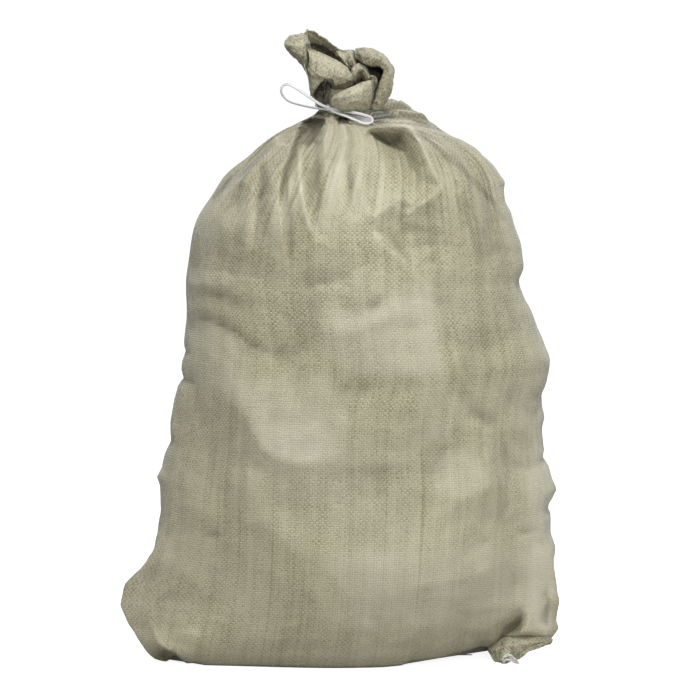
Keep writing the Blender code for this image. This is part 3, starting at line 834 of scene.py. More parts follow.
            "middle": [(290, 505, 9), (330, 510, 7), (370, 500, 6), (400, 470, 6), (400, 430, 6)],
            "low middle": [(330, 548, 9), (370, 562, 9), (420, 560, 10), (460, 550, 9)],
            "left streak": [(172, 491, 1.4), (190, 509, 2), (210, 523, 2.4), (227, 531, 3.5)],
            "left streak foot": [(170, 502, 0), (188, 519, 0.2), (207, 533, 1)],
        },
    },
    "corners": {
        "softness": 0.0018,
        "strength": 1.0,
        "lines": {
            "left top": [(122, 575, 0), (150, 585, 0), (185, 600, 0), (210, 625, 0), (214, 664, 0)],
            "left outline": [(118, 600, 0), (128, 632, 0), (142, 656, 0), (158, 672, 0), (190, 672, 0)],
            "left crest": [(152, 622, 2), (155, 632, 6), (158, 642, 10), (164, 648, 10), (171, 652, 8),
                (184, 659, 3)],
            "left hollow": [(162, 648, -4), (164, 654, -14), (164, 660, -12)],
            "left bright": [(168, 625, 3), (182, 630, 4), (196, 636, 3)],
            "left dip": [(172, 642, 2), (188, 646, 1)],
            "right top": [(470, 590, 0), (500, 585, 0), (530, 580, 0), (556, 575, 0)],
            "right outline": [(560, 590, 0), (562, 625, 0), (556, 650, 0), (530, 668, 0), (490, 668, 0),
                (450, 668, 0), (452, 630, 0)],
            "ear brow": [(521, 608, 6), (528, 616, 12), (533, 625, 16), (530, 636, 18), (540, 637.5, 15),
                (548, 638, 8)],
            "ear brow left": [(526, 626, 14), (518, 636, 14), (508, 637, 8)],
            "cavity": [(521, 618, -4), (515, 625, -14), (508, 632, -17), (499, 640, -9), (487, 645, -3)],
            "cavity rim": [(512, 612, 2), (500, 622, 2), (484, 632, 2), (468, 640, 0)],
            "ear under": [(506, 642, -24), (518, 642, -28), (532, 642, -26), (545, 642, -18)],
            "ear curl": [(549, 588, 0), (552, 596, 6), (553, 606, 7), (551, 616, 4)],
            "ear curl dark": [(546, 592, -2), (547, 604, -4), (546, 616, -2)],
        },
    },
}

# painted light on the front: patches of painted sheen (above zero) and painted shade (below zero), with
# crisp edges along the folds: amount, edge width in mm, outline in the picture
patches = {
    "tongue": (0.3, 7, [(326, 126), (340, 120), (356, 124), (372, 140), (384, 165), (398, 197),
        (372, 222), (352, 238), (330, 236), (316, 228), (322, 190), (323, 150)]),
    "light band": (0.25, 3, [(366, 226), (380, 222), (398, 246), (413, 274), (402, 270), (384, 248)]),
    "bright patch": (0.5, 11, [(326, 302), (350, 312), (385, 300), (402, 284), (430, 286), (434, 330),
        (446, 372), (400, 376), (345, 374), (322, 352)]),
    "bright core": (0.2, 7, [(330, 322), (366, 318), (398, 302), (424, 300), (404, 316), (366, 330),
        (334, 332)]),
    "column": (0.25, 9, [(412, 300), (432, 290), (438, 372), (456, 400), (452, 440), (424, 440),
        (412, 380)]),
    "plateau": (0.46, 14, [(206, 366), (236, 372), (262, 378), (330, 374), (345, 420), (334, 456),
        (306, 463), (276, 456), (262, 447), (246, 416), (226, 394)]),
    "plateau edge": (0.4, 10, [(262, 428), (330, 420), (336, 456), (306, 464), (276, 457), (262, 447)]),
    "right lobe": (0.65, 7, [(440, 452), (474, 446), (484, 468), (489, 489), (462, 500), (440, 496),
        (434, 474)]),
    "left panel": (0.3, 3, [(270, 168), (282, 166), (279, 200), (283, 262), (280, 270), (270, 240),
        (266, 200)]),
    "left shoulder": (-0.4, 6, [(250, 164), (276, 144), (292, 136), (284, 172), (262, 200), (234, 206),
        (222, 214)]),
    "silver streak": (0.9, 1.6, [(297, 146), (301, 146), (301.5, 170), (303, 194), (307, 213), (313, 229),
        (309, 231), (302, 215), (298.5, 196), (297, 170)]),
    "silver streak two": (0.7, 1.6, [(289, 176), (292.5, 178), (290, 200), (289, 231), (285, 231),
        (285.5, 198)]),
    "groove wedge": (-0.55, 3, [(306, 150), (314, 148), (320, 160), (322, 180), (320, 205), (314, 218),
        (308, 205), (304, 180), (303, 160)]),
    "pocket arm": (-0.8, 1.8, [(297, 138), (301, 143), (294, 158), (288, 172), (284, 190), (281, 206),
        (279, 204), (280.5, 188), (284, 170), (290, 154)]),
    "tongue seam": (-0.4, 1.8, [(348, 166), (352, 166), (352.5, 188), (349, 192)]),
    "tongue glint": (0.4, 4, [(327, 164), (346, 162), (347, 190), (344, 214), (330, 214), (327, 190)]),
    "tongue glint two": (0.35, 4, [(354, 172), (362, 170), (366, 196), (372, 212), (356, 216),
        (353, 190)]),
    "crest light": (0.6, 1.8, [(411, 129), (416, 131), (428, 155), (443, 186), (439, 187.5), (424, 158)]),
    "silver facet": (0.4, 4, [(443, 158), (456, 166), (465, 190), (453, 196), (444, 182)]),
    "brown line": (-0.6, 1.6, [(410, 124), (416, 127), (446, 151), (462, 165), (480, 183), (494, 199),
        (506, 219), (503, 221), (491, 203), (476, 187), (458, 169), (442, 156)]),
    "left silver": (0.4, 6, [(190, 320), (215, 325), (232, 333), (240, 350), (238, 374), (222, 362),
        (205, 350), (192, 346)]),
    "left silver two": (0.3, 5, [(190, 268), (222, 271), (238, 280), (214, 284), (190, 284)]),
    "low mid": (0.22, 14, [(340, 556), (440, 552), (445, 625), (340, 628)]),
    "right rim": (0.9, 10, [(536, 440), (552, 470), (553, 540), (556, 600), (545, 640), (528, 600),
        (532, 540), (528, 480)]),
    "left dark": (-0.34, 11, [(188, 226), (214, 218), (238, 240), (262, 250), (290, 274), (330, 262),
        (344, 274), (336, 290), (322, 302), (318, 330), (304, 345), (290, 322), (270, 302), (226, 290),
        (188, 268)]),
    "right facet": (-0.25, 8, [(441, 192), (407, 215), (412, 242), (416, 272), (434, 288), (500, 284),
        (508, 262), (490, 236), (468, 200)]),
    "left wedge": (-0.2, 5, [(203, 368), (226, 396), (246, 418), (262, 448), (248, 462), (246, 480),
        (250, 505), (254, 522), (225, 514), (190, 500), (160, 480), (176, 430), (192, 392)]),
    "low left": (-0.26, 12, [(150, 500), (190, 505), (225, 516), (262, 524), (290, 548), (335, 578),
        (352, 604), (352, 680), (110, 680), (110, 560)]),
    "right dark": (-0.1, 12, [(470, 340), (455, 380), (470, 412), (486, 442), (489, 470), (505, 492),
        (530, 470), (533, 440), (520, 400), (522, 350), (496, 326)]),
    "middle": (-0.25, 18, [(336, 466), (410, 462), (436, 446), (438, 500), (400, 545), (320, 545),
        (270, 500), (262, 470)]),
    "pocket": (-1.35, 2.5, [(300, 124), (308, 119.5), (318, 118.5), (325, 121), (320, 134), (315, 142),
        (309, 148), (301, 144), (298, 134)]),
    "fold inside": (-1.3, 2.5, [(369, 132.5), (384, 131), (396, 134), (405, 143), (408, 152), (398, 150),
        (383, 143)]),
    "fold wall": (-0.4, 3, [(396, 131), (411, 131), (420, 148), (428, 164), (420, 168), (408, 156),
        (404, 143)]),
    "low crease light": (0.5, 2, [(442, 186), (426, 199), (407, 212.5), (408, 216), (426, 204),
        (443, 191)]),
    "mid crease light": (0.4, 2, [(400, 197.5), (385, 207.5), (370, 218), (372, 222), (387, 211.5),
        (402, 201)]),
    "shoulder roll": (-0.9, 3, [(272, 141), (274, 145), (258, 160), (244, 174), (229, 187), (213, 201),
        (212, 196), (224, 183), (240, 168), (255, 154)]),
    "shoulder dark": (-0.45, 3, [(262, 170), (268, 172), (270, 205), (273, 240), (262, 236), (259, 205)]),
    "side dark": (-0.3, 4, [(236, 194), (241, 196), (240, 222), (243, 244), (233, 242), (232, 215)]),
    "right gathers": (-0.5, 8, [(408, 108), (440, 125), (470, 148), (486, 170), (497, 215), (503, 250),
        (480, 262), (462, 215), (446, 176), (428, 146), (414, 128)]),
    "right face": (-0.35, 12, [(440, 300), (500, 292), (528, 320), (505, 345), (470, 350), (445, 340)]),
    "left corner": (-0.35, 8, [(118, 570), (165, 560), (205, 590), (200, 625), (165, 632), (125, 625)]),
    "left ear hollow": (-1.5, 2, [(162, 648), (173, 652), (169, 661), (163, 659)]),
    "left ear light": (0.25, 5, [(166, 626), (200, 632), (206, 645), (180, 652), (166, 640)]),
    "cavity": (-1.1, 2, [(520, 618), (524, 626), (519, 634), (508, 638), (499, 641), (504, 634),
        (512, 626)]),
    # painted shade inside the ear's curled edge
    "rim curl shade": (-0.5, 2, [(551, 592), (555, 592), (556, 604), (553, 612), (550, 604)]),
    "right ear light": (0.3, 4, [(526, 592), (551, 594), (553, 628), (532, 634), (523, 614)]),
    "low right": (0.2, 18, [(440, 505), (500, 500), (536, 515), (545, 600), (440, 600)]),
    "right side": (0.3, 14, [(468, 396), (500, 376), (545, 376), (545, 432), (484, 432)]),
    "foot": (0.25, 14, [(300, 560), (480, 545), (540, 560), (540, 620), (450, 625), (330, 630)]),
    "neck hollow": (-2.0, 2.5, [(305, 122), (312, 115), (321, 111.5), (327, 112), (325, 121)]),
    "tie hollow": (-2.4, 2, [(338, 118), (348, 120), (350, 125), (338, 124)]),
}

# the same painted shade, for the ridge behind the neck and the knot's shadow on it
ridgeShade = {
    "back ridge": (-1.1, 4, [(374, 112), (384, 99), (400, 95), (416, 101), (434, 116), (446, 130),
        (434, 130), (412, 121), (390, 119)]),
    "knot shadow": (-1.3, 3, [(371, 112), (379, 107), (388, 110), (394, 117), (388, 123), (375, 124)]),
}

# narrow creases on top of the facets: line, height in mm (a groove below zero), width in mm
creases = [
    ([(299, 146), (299.5, 170), (301, 194), (305, 214), (311, 230)], 2.4, 2.8),
    ([(291, 177), (288, 199), (287, 230)], 1.8, 2.6),
    ([(299, 140), (291, 157), (286, 172), (282.5, 190), (280, 206)], -1.6, 2.4),
    ([(350, 164), (350.5, 178), (351, 192)], -1.4, 2.6),
    ([(287, 200), (284, 214), (282, 236), (283, 262), (282, 271)], 1.2, 2.6),
    ([(222, 206), (216, 216), (210, 226)], -1.4, 2.2),
    ([(405, 117), (430, 137), (455, 159), (478, 186), (496, 214)], -1.6, 2.2),
    ([(414, 128), (436, 149), (458, 168), (480, 193), (499, 218)], -2.2, 2.4),
    ([(402, 117), (430, 131), (460, 153), (482, 176), (497, 196)], -1.4, 2.2),
    ([(424, 146), (440, 166), (452, 192), (457, 218), (459, 250)], -1.4, 2.6),
    ([(446, 168), (464, 194), (474, 222), (478, 254)], -1.4, 2.2),
    ([(470, 184), (484, 208), (491, 232), (493, 258)], -1.6, 2.2),
    ([(480, 180), (496, 208), (503, 232), (508, 256)], -1.2, 2.0),
    ([(498, 284), (508, 282), (518, 279), (530, 276)], -1.4, 2.4),
    ([(184, 288), (190, 289), (208, 292), (234, 297)], -1.6, 2.4),
    ([(186, 312), (191, 313), (205, 318), (223, 324), (237, 330), (250, 343), (272, 351)], -2.0, 2.4),
    ([(198, 270), (230, 273), (263, 278)], -1.0, 2.2),
    ([(414, 131), (426, 156), (440.5, 186)], 2.0, 2.6),
    ([(205, 535), (218, 534), (230, 537)], -1.4, 2.2),
    ([(196, 560), (208, 565), (222, 569)], 1.2, 2.2),
    ([(200, 614), (214, 620), (230, 625)], 1.2, 2.2),
    ([(404, 588), (433, 584), (455, 581), (476, 574), (496, 568)], 1.3, 2.2),
    ([(480, 541), (495, 537), (509, 534)], -1.4, 2.2),
    ([(160, 520), (161, 540), (163, 560), (160, 584)], 2.0, 3.4),
    ([(311, 118), (318, 115), (326, 114)], -14.0, 3.2),
    ([(338, 121), (343, 121), (349, 121.5)], -12.0, 2.6),
    ([(331, 112), (333, 118), (332, 126)], 4.0, 3.4),
    ([(300, 122), (285, 132), (272, 141), (259, 154), (245, 168), (232, 180)], -3.0, 2.0),
    ([(462, 560), (476, 548), (497, 541)], -0.9, 2.0),
    ([(502, 520), (520, 508), (540, 505)], 1.6, 3.0),
    ([(500, 545), (520, 532), (541, 528)], -1.6, 3.0),
    ([(446, 640), (441, 648), (438, 656)], 1.0, 2.0),
    ([(152, 622), (156, 636), (160, 646), (170, 651), (184, 657)], 3.0, 2.6),
    ([(156, 606), (172, 604), (190, 610)], 1.0, 2.2),
    ([(486, 452), (490, 470), (491, 486), (480, 494)], 1.4, 2.4),
    ([(262, 449), (276, 458), (296, 463), (316, 462)], 1.2, 2.4),
]


def foldPoints(lines):
    # points at even steps along each smooth line, in metres
    spots = {}
    for line in lines.values():
        track = numbered(line)
        reach = sum(math.dist(a[:2], b[:2]) for a, b in zip(line, line[1:]))
        steps = max(len(line) - 1, int(reach / sack["foldStep"]))
        for k in range(steps + 1):
            px, py, height = through(track, k * (len(line) - 1) / steps)
            spot = planePoint(px, py)
            spots[(round(spot[0], 5), round(spot[1], 5))] = height / 1000
    return spots


def facets(x, z, lines):
    # height of the cloth at each place, flat between neighbouring fold points
    spots = foldPoints(lines)
    places = [Vector(spot) for spot in spots]
    corners, _, faces, sources, _, _ = delaunay_2d_cdt(places, [], [], 0, 1e-6)
    given = list(spots.values())
    heights = [given[source[0]] for source in sources]
    found = np.zeros(x.shape)
    for a, b, c in faces:
        (ax, az), (bx, bz), (cx, cz) = corners[a], corners[b], corners[c]
        low = (min(ax, bx, cx), min(az, bz, cz))
        high = (max(ax, bx, cx), max(az, bz, cz))
        near = (x >= low[0]) & (x <= high[0]) & (z >= low[1]) & (z <= high[1])
        spot = np.nonzero(near)
        if not len(spot[0]):
            continue
        area = (bx - ax) * (cz - az) - (cx - ax) * (bz - az)
        if abs(area) < 1e-12:
            continue
        px, pz = x[spot], z[spot]
        u = ((px - ax) * (cz - az) - (cx - ax) * (pz - az)) / area
        v = ((bx - ax) * (pz - az) - (px - ax) * (bz - az)) / area
        inside = (u >= -1e-6) & (v >= -1e-6) & (u + v <= 1 + 1e-6)
        value = heights[a] + u * (heights[b] - heights[a]) + v * (heights[c] - heights[a])
        rows, columns = spot[0][inside], spot[1][inside]
        found[rows, columns] = value[inside]
    return found


def softened(values, points, radius):
    # spreads each value over its neighbours until creases are about this round
    step = np.linalg.norm(np.roll(points, -1, axis=1) - points, axis=-1)
    rise = np.linalg.norm(np.diff(points, axis=0), axis=-1)
    step = max(np.median(step), 1e-4)
    rise = max(np.median(rise), 1e-4)
    for size, axis in ((step, 1), (rise, 0)):
        rounds = max(1, int(round(2 * (radius / size) ** 2)))
        for _ in range(rounds):
            if axis == 1:
                values = (np.roll(values, 1, 1) + 2 * values + np.roll(values, -1, 1)) / 4
            else:
                padded = np.pad(values, ((1, 1), (0, 0)), mode="edge")
                values = (padded[:-2] + 2 * values + padded[2:]) / 4
    return values


def lineDistance(x, z, line):
    # distance to a polyline in metres, and how far along it, from 0 to 1
    points = [planePoint(*p) for p in line]
    lengths = [math.dist(a, b) for a, b in zip(points, points[1:])]
    total = sum(lengths)
    best = np.full(x.shape, 1e9)
    along = np.zeros(x.shape)
    walked = 0
    for (ax, az), (bx, bz), length in zip(points, points[1:], lengths):
        dx, dz = (bx - ax) / length, (bz - az) / length
        t = np.clip((x - ax) * dx + (z - az) * dz, 0, length)
        gap = np.hypot(x - ax - t * dx, z - az - t * dz)
        nearer = gap < best
        best = np.where(nearer, gap, best)
        along = np.where(nearer, (walked + t) / total, along)
        walked += length
    return best, along


def noiseAt(points, scale, stretch=(1, 1, 1), octaves=1, ridged=False):
    flat = points.reshape(-1, 3) * np.array(stretch) * scale
    out = np.empty(len(flat))
    for k, p in enumerate(flat):
        value = 0
        size = 1
        place = Vector(p)
        for _ in range(octaves):
            v = noise.noise(place)
            value += size * (1 - 2 * abs(v) if ridged else v)
            size *= 0.5
            place = place * 2.03
        out[k] = value
    return out.reshape(points.shape[:-1])


def turnFrom(turn, at):
    # the angle between two directions, from -180 to 180 degrees
    return (turn - at + 180) % 360 - 180


def earReach(ear, turn, heights):
    at, spread, stations = ear
    levels = [s[0] for s in stations]
    reach = np.interp(heights, levels, [s[1] for s in stations])
    near = np.clip(1 - np.abs(turnFrom(turn, at)) / spread, 0, 1)
    return reach[:, None] * near[None, :] ** sack["earSharpness"]


def hump(value, middle, spread):
    return np.exp(-(((value - middle) / spread) ** 2))


def skinRows():
    # heights along the sack's side, closer together where the cloth is gathered
    fine = np.linspace(0, sack["profile"][-1][0], sack["heightSamples"])
    shape = np.array([through(sack["profile"], h) for h in fine])
    size = ((shape[:, 1] - shape[:, 0]) / 2 + shape[:, 2]) / 2
    arc = np.concatenate(([0], np.cumsum(np.hypot(np.diff(size), np.diff(fine)))))
    wide, tight, low = sack["rowStep"]
    step = wide + (tight - wide) * smoothStep(*sack["tightRows"], fine)
    step = step + (low - wide) * (1 - smoothStep(*sack["footRows"], fine))
    pace = np.concatenate(([0], np.cumsum(np.diff(arc) / step[:-1])))
    wanted = np.interp(np.arange(int(pace[-1]) + 1), pace, arc)
    return np.interp(wanted, arc, fine), wanted


def skinTurns():
    # directions round the sack, closer together at the front
    front = -180 + 180 * (np.arange(sack["frontColumns"]) + 0.5) / sack["frontColumns"]
    back = 180 * (np.arange(sack["backColumns"]) + 0.5) / sack["backColumns"]
    turn = np.concatenate((front, back))
    for _ in range(sack["columnCalm"]):
        left = np.roll(turn, 1)
        right = np.roll(turn, -1)
        left[0] -= 360
        right[-1] += 360
        turn = (left + 2 * turn + right) / 4
    return turn


def skinShape():
    heights, arcs = skinRows()
    shape = np.array([through(sack["profile"], h) for h in heights])
    left, right, depth, middleY = shape.T
    turn = skinTurns()
    angle = np.radians(turn)
    out = np.zeros((len(heights), len(turn)))
    for at, level, wide, tall, push in sack["lumps"]:
        out += push * hump(heights, level, tall)[:, None] * hump(turnFrom(turn, at), 0, wide)[None, :]
    halfWidth = ((right - left) / 2)[:, None] + out
    x = ((left + right) / 2)[:, None] + halfWidth * np.cos(angle)
    x = x + earReach(sack["rightEar"], turn, heights) - earReach(sack["leftEar"], turn, heights)
    at, wide, level, tall, deep = sack["notch"]
    x = x - deep * np.outer(hump(heights, level, tall), hump(turnFrom(turn, at), 0, wide))
    for at, level, tall, push in sack["edges"]:
        beside = hump(turnFrom(turn, at), 0, sack["edgeSpread"])
        x = x + push / 1000 * math.cos(math.radians(at)) * np.outer(hump(heights, level, tall), beside)
    y = middleY[:, None] + (depth[:, None] + out) * np.sin(angle)
    for at, reach, top, wide in sack["footForward"]:
        y = y - reach * np.outer(1 - smoothStep(0, top, heights), hump(turnFrom(turn, at), 0, wide))
    at, wide, level, tall, lift = sack["backRidge"]
    behind = hump(turnFrom(turn, at), 0, wide)
    z = heights[:, None] + lift * hump(heights, level, tall)[:, None] * behind[None, :]
    neckX, _, neckZ = sack["neck"]
    slope = math.tan(math.radians(sack["neckSlope"]))
    start, full = sack["leanBelow"]
    near = smoothStep(neckZ - start, neckZ - full, heights)
    z = z - slope * (x - neckX) * hump(x, neckX, sack["leanWidth"]) * near[:, None]
    seen = (x - eye.x) * eye.y / (eye.y - y) + eye.x
    rim = [(planePoint(px, 0)[0], lift / 1000) for px, lift in sack["rimLift"]]
    lifted = np.interp(seen, [x for x, _ in rim], [lift for _, lift in rim])
    z = z + lifted * (1 - smoothStep(0, sack["rimHeight"], heights))[:, None] * (y < sack["rimFront"])
    return np.stack((x, y, z), axis=-1), heights, arcs, turn


def gridNormals(points):
    around = np.roll(points, -1, axis=1) - np.roll(points, 1, axis=1)
    up = np.gradient(points, axis=0)
    normal = np.cross(around, up)
    return normal / np.maximum(np.linalg.norm(normal, axis=-1, keepdims=True), 1e-9)


def backPleats(heights, turn, front):
    # gathers that run from the neck down the back and sides, where the picture doesn't reach
    draw = random.Random(sack["pleatSeed"])
    total = np.zeros(front.shape)
    for k in range(sack["pleatCount"]):
        shift = k + draw.uniform(0.2, 0.8)
        at = sack["pleatsFrom"] + sack["pleatsOver"] * shift / sack["pleatCount"]
        fall, deep, bend, wide = (draw.uniform(*sack[key])
                                  for key in ("pleatFoot", "pleatDepth", "pleatBend", "pleatWidth"))
        drift = at + bend * (sack["pleatTop"] - heights) / sack["pleatRun"]
        gap = turnFrom(turn[None, :], drift[:, None])
        arcGap = gap * np.interp(heights, *sack["pleatCloser"])[:, None]
        grown = smoothStep(fall, sack["pleatFull"], heights)[:, None]
        crest = np.exp(-np.abs(arcGap + wide) / wide) * (arcGap < 2)
        groove = np.exp(-((arcGap - 0.5) / (wide * 0.6)) ** 2)
        total += deep * grown * (crest * 0.8 - groove)
    return total * (1 - front)


def pictured(points):
    # where the camera sees each point, on the plane y = 0
    view = (eye.y - points[..., 1]) / eye.y
    return eye.x + (points[..., 0] - eye.x) / view, eye.z + (points[..., 2] - eye.z) / view


def frontShare(points, fade, reach):
    # 1 where the cloth faces the camera, 0 past the outline
    facing = -gridNormals(points)[..., 1]
    return smoothStep(sack["edgeOn"], fade, facing) * (points[..., 1] < reach)


def raysRound(heights, turn):
    # a place for each point that depends on its direction and height alone
    rays = np.stack((np.cos(np.radians(turn)), np.sin(np.radians(turn)), 0 * turn), -1)
    rays = np.repeat(rays[None], len(heights), 0)
    rays[..., 2] = heights[:, None]
    return rays


def skinRelief(points, heights, turn):
    normal = gridNormals(points)
    px, pz = pictured(points)
    front = frontShare(points, *sack["foldReach"])
    below = (1 - smoothStep(*sack["underTie"], heights))[:, None]
    relief = np.zeros(front.shape)
    for part in folds.values():
        raised = facets(px, pz, part["lines"]) * part["strength"]
        relief += softened(raised, points, part["softness"])
    least = sack["creaseLeast"]
    for line, height, width in creases:
        gap, along = lineDistance(px, pz, line)
        ends = smoothStep(*sack["creaseGrown"], along) * (1 - smoothStep(*sack["creaseOut"], along))
        ends = least + (1 - least) * ends
        relief += height / 1000 * np.exp(-((gap / width * 1000) ** 2)) * ends
    # the front's folds move straight towards the camera, and fade out at the outline
    towards = np.array(eye) - points
    towards /= np.linalg.norm(towards, axis=-1, keepdims=True)
    edge = np.abs((towards * normal).sum(-1))
    upper = smoothStep(*sack["calmFrom"], heights)[:, None]
    moved = (relief * front * below * smoothStep(*sack["moveFade"], edge))[..., None] * towards
    calm = 1 - upper * (1 - smoothStep(*sack["calmFade"], edge))
    relief = backPleats(heights, turn, front) * below * calm
    gathered = smoothStep(sack["gatherFrom"], sack["gatherFull"], heights)[:, None] * below
    rays = raysRound(heights, turn)
    deep, stretch = sack["gatherWave"]
    relief += deep * gathered * noiseAt(rays, 1, stretch, 2)
    deep, stretch = sack["gatherCrease"]
    relief += deep * gathered * calm * noiseAt(rays, 1, stretch, 2, True)
    grounded = below * calm * smoothStep(0, 0.03, heights)[:, None]
    for deep, close, layers, sharp in sack["dents"]:
        relief += deep * noiseAt(points, close, (1, 1, 1), layers, sharp) * grounded
    return moved + normal * relief[..., None]


def inOutline(x, z, outline, edge):
    # 1 inside a closed outline and 0 outside, blended over the edge's width
    inside = np.zeros(x.shape, dtype=bool)
    points = [planePoint(*p) for p in outline]
    for (ax, az), (bx, bz) in zip(points, points[1:] + points[:1]):
        if az != bz:
            crossed = (az > z) != (bz > z)
            inside ^= crossed & (x < ax + (z - az) * (bx - ax) / (bz - az))
    gap, _ = lineDistance(x, z, outline + outline[:1])
    signed = np.where(inside, gap, -gap)
    return smoothStep(-edge / 2000, edge / 2000, signed)


def patchTone(points, wander, table):
    px, pz = pictured(points)
    return sum(amount * inOutline(px + wander, pz - wander, outline, edge)
               for amount, edge, outline in table.values())


def paintedLightMask(points, heights, turn):
    # painted sheen and painted shade on the front, in patches and in streaks along the gathers
    far, close = sack["toneWander"]
    wander = far * noiseAt(points, close, (1, 1, 1), 2)
    tone = patchTone(points, wander, patches) * frontShare(points, *sack["toneReach"])
    tone += patchTone(points, wander, ridgeShade) * frontShare(points, *sack["ridgeReach"])
    gathered = smoothStep(sack["gatherFrom"], 0.54, heights)[:, None]
    rays = raysRound(heights, turn)
    return tone + gathered * sum(amount * noiseAt(rays, 1, stretch, 2)
                                 for amount, stretch in sack["streaks"])


def creaseMask(points, reach):
    # how far each point lies below its neighbours, 0 on open cloth and 1 deep in a crease, where the cloth
    # is painted darker as shade
    closed = np.concatenate([softened(points[..., k], points, reach)[..., None] for k in range(3)], -1)
    sunk = ((closed - points) * gridNormals(points)).sum(-1)
    return smoothStep(0.0001, sack["creaseDepth"], sunk)


def storeMask(made, name, values):
    layer = made.data.attributes.new(name, "FLOAT", "POINT")
    layer.data.foreach_set("value", np.asarray(values, dtype=np.float32).reshape(-1))


def clothPlaces(points, arcs, turn, heights):
    # where each face lies on the flat cloth: true widths up to the gathers, and above
    # them narrow panels that follow the folds, so that the weave keeps its size
    step = np.linalg.norm(np.roll(points, -1, axis=1) - points, axis=-1)
    walked = np.concatenate((np.zeros((len(points), 1)), np.cumsum(step, axis=1)), axis=1)
    front = int(np.argmin(np.abs(turn + 90)))
    walked = walked - walked[:, front:front + 1]
    # the tapes run straight on past the small folds
    share = np.hanning(2 * sack["tapeCalm"] + 1)
    calm = np.pad(walked, ((sack["tapeCalm"], sack["tapeCalm"]), (0, 0)), "edge")
    walked = sum(share[k] * calm[k:k + len(walked)] for k in range(len(share))) / share.sum()
    gather = int(np.searchsorted(heights, sack["gatherFrom"]))
    width = np.ptp(walked[gather])
    middle = (np.floor(walked[gather] / width * sack["panels"]) + 0.5) * width / sack["panels"]
    shrink = np.ptp(walked, axis=1) / width

    def place(r, c, panel):
        if r <= gather:
            return walked[r, c], arcs[r]
        return middle[panel] + (walked[gather, c] - middle[panel]) * shrink[r], arcs[r]

    def places(r, c):
        return [place(r, c, c), place(r, c + 1, c), place(r + 1, c + 1, c), place(r + 1, c, c)]

    return places


def makeSkin():
    points, heights, arcs, turn = skinShape()
    rooted = smoothStep(0, 0.006, heights)[:, None, None]
    points = points + skinRelief(points, heights, turn) * rooted
    points[..., 2] = np.maximum(points[..., 2], 0)
    made = gridMesh("sack_skin", points, clothPlaces(points, arcs, turn, heights), True,
                    paints["cloth"])
    storeMask(made, "crease", creaseMask(points, sack["creaseReach"]))
    storeMask(made, "tone", paintedLightMask(points, heights, turn))
    capped(made, sack["baseInset"])
    placed(made, "sack")
    print("skin made with", len(made.data.vertices), "points")


# the bunched cloth above the tie

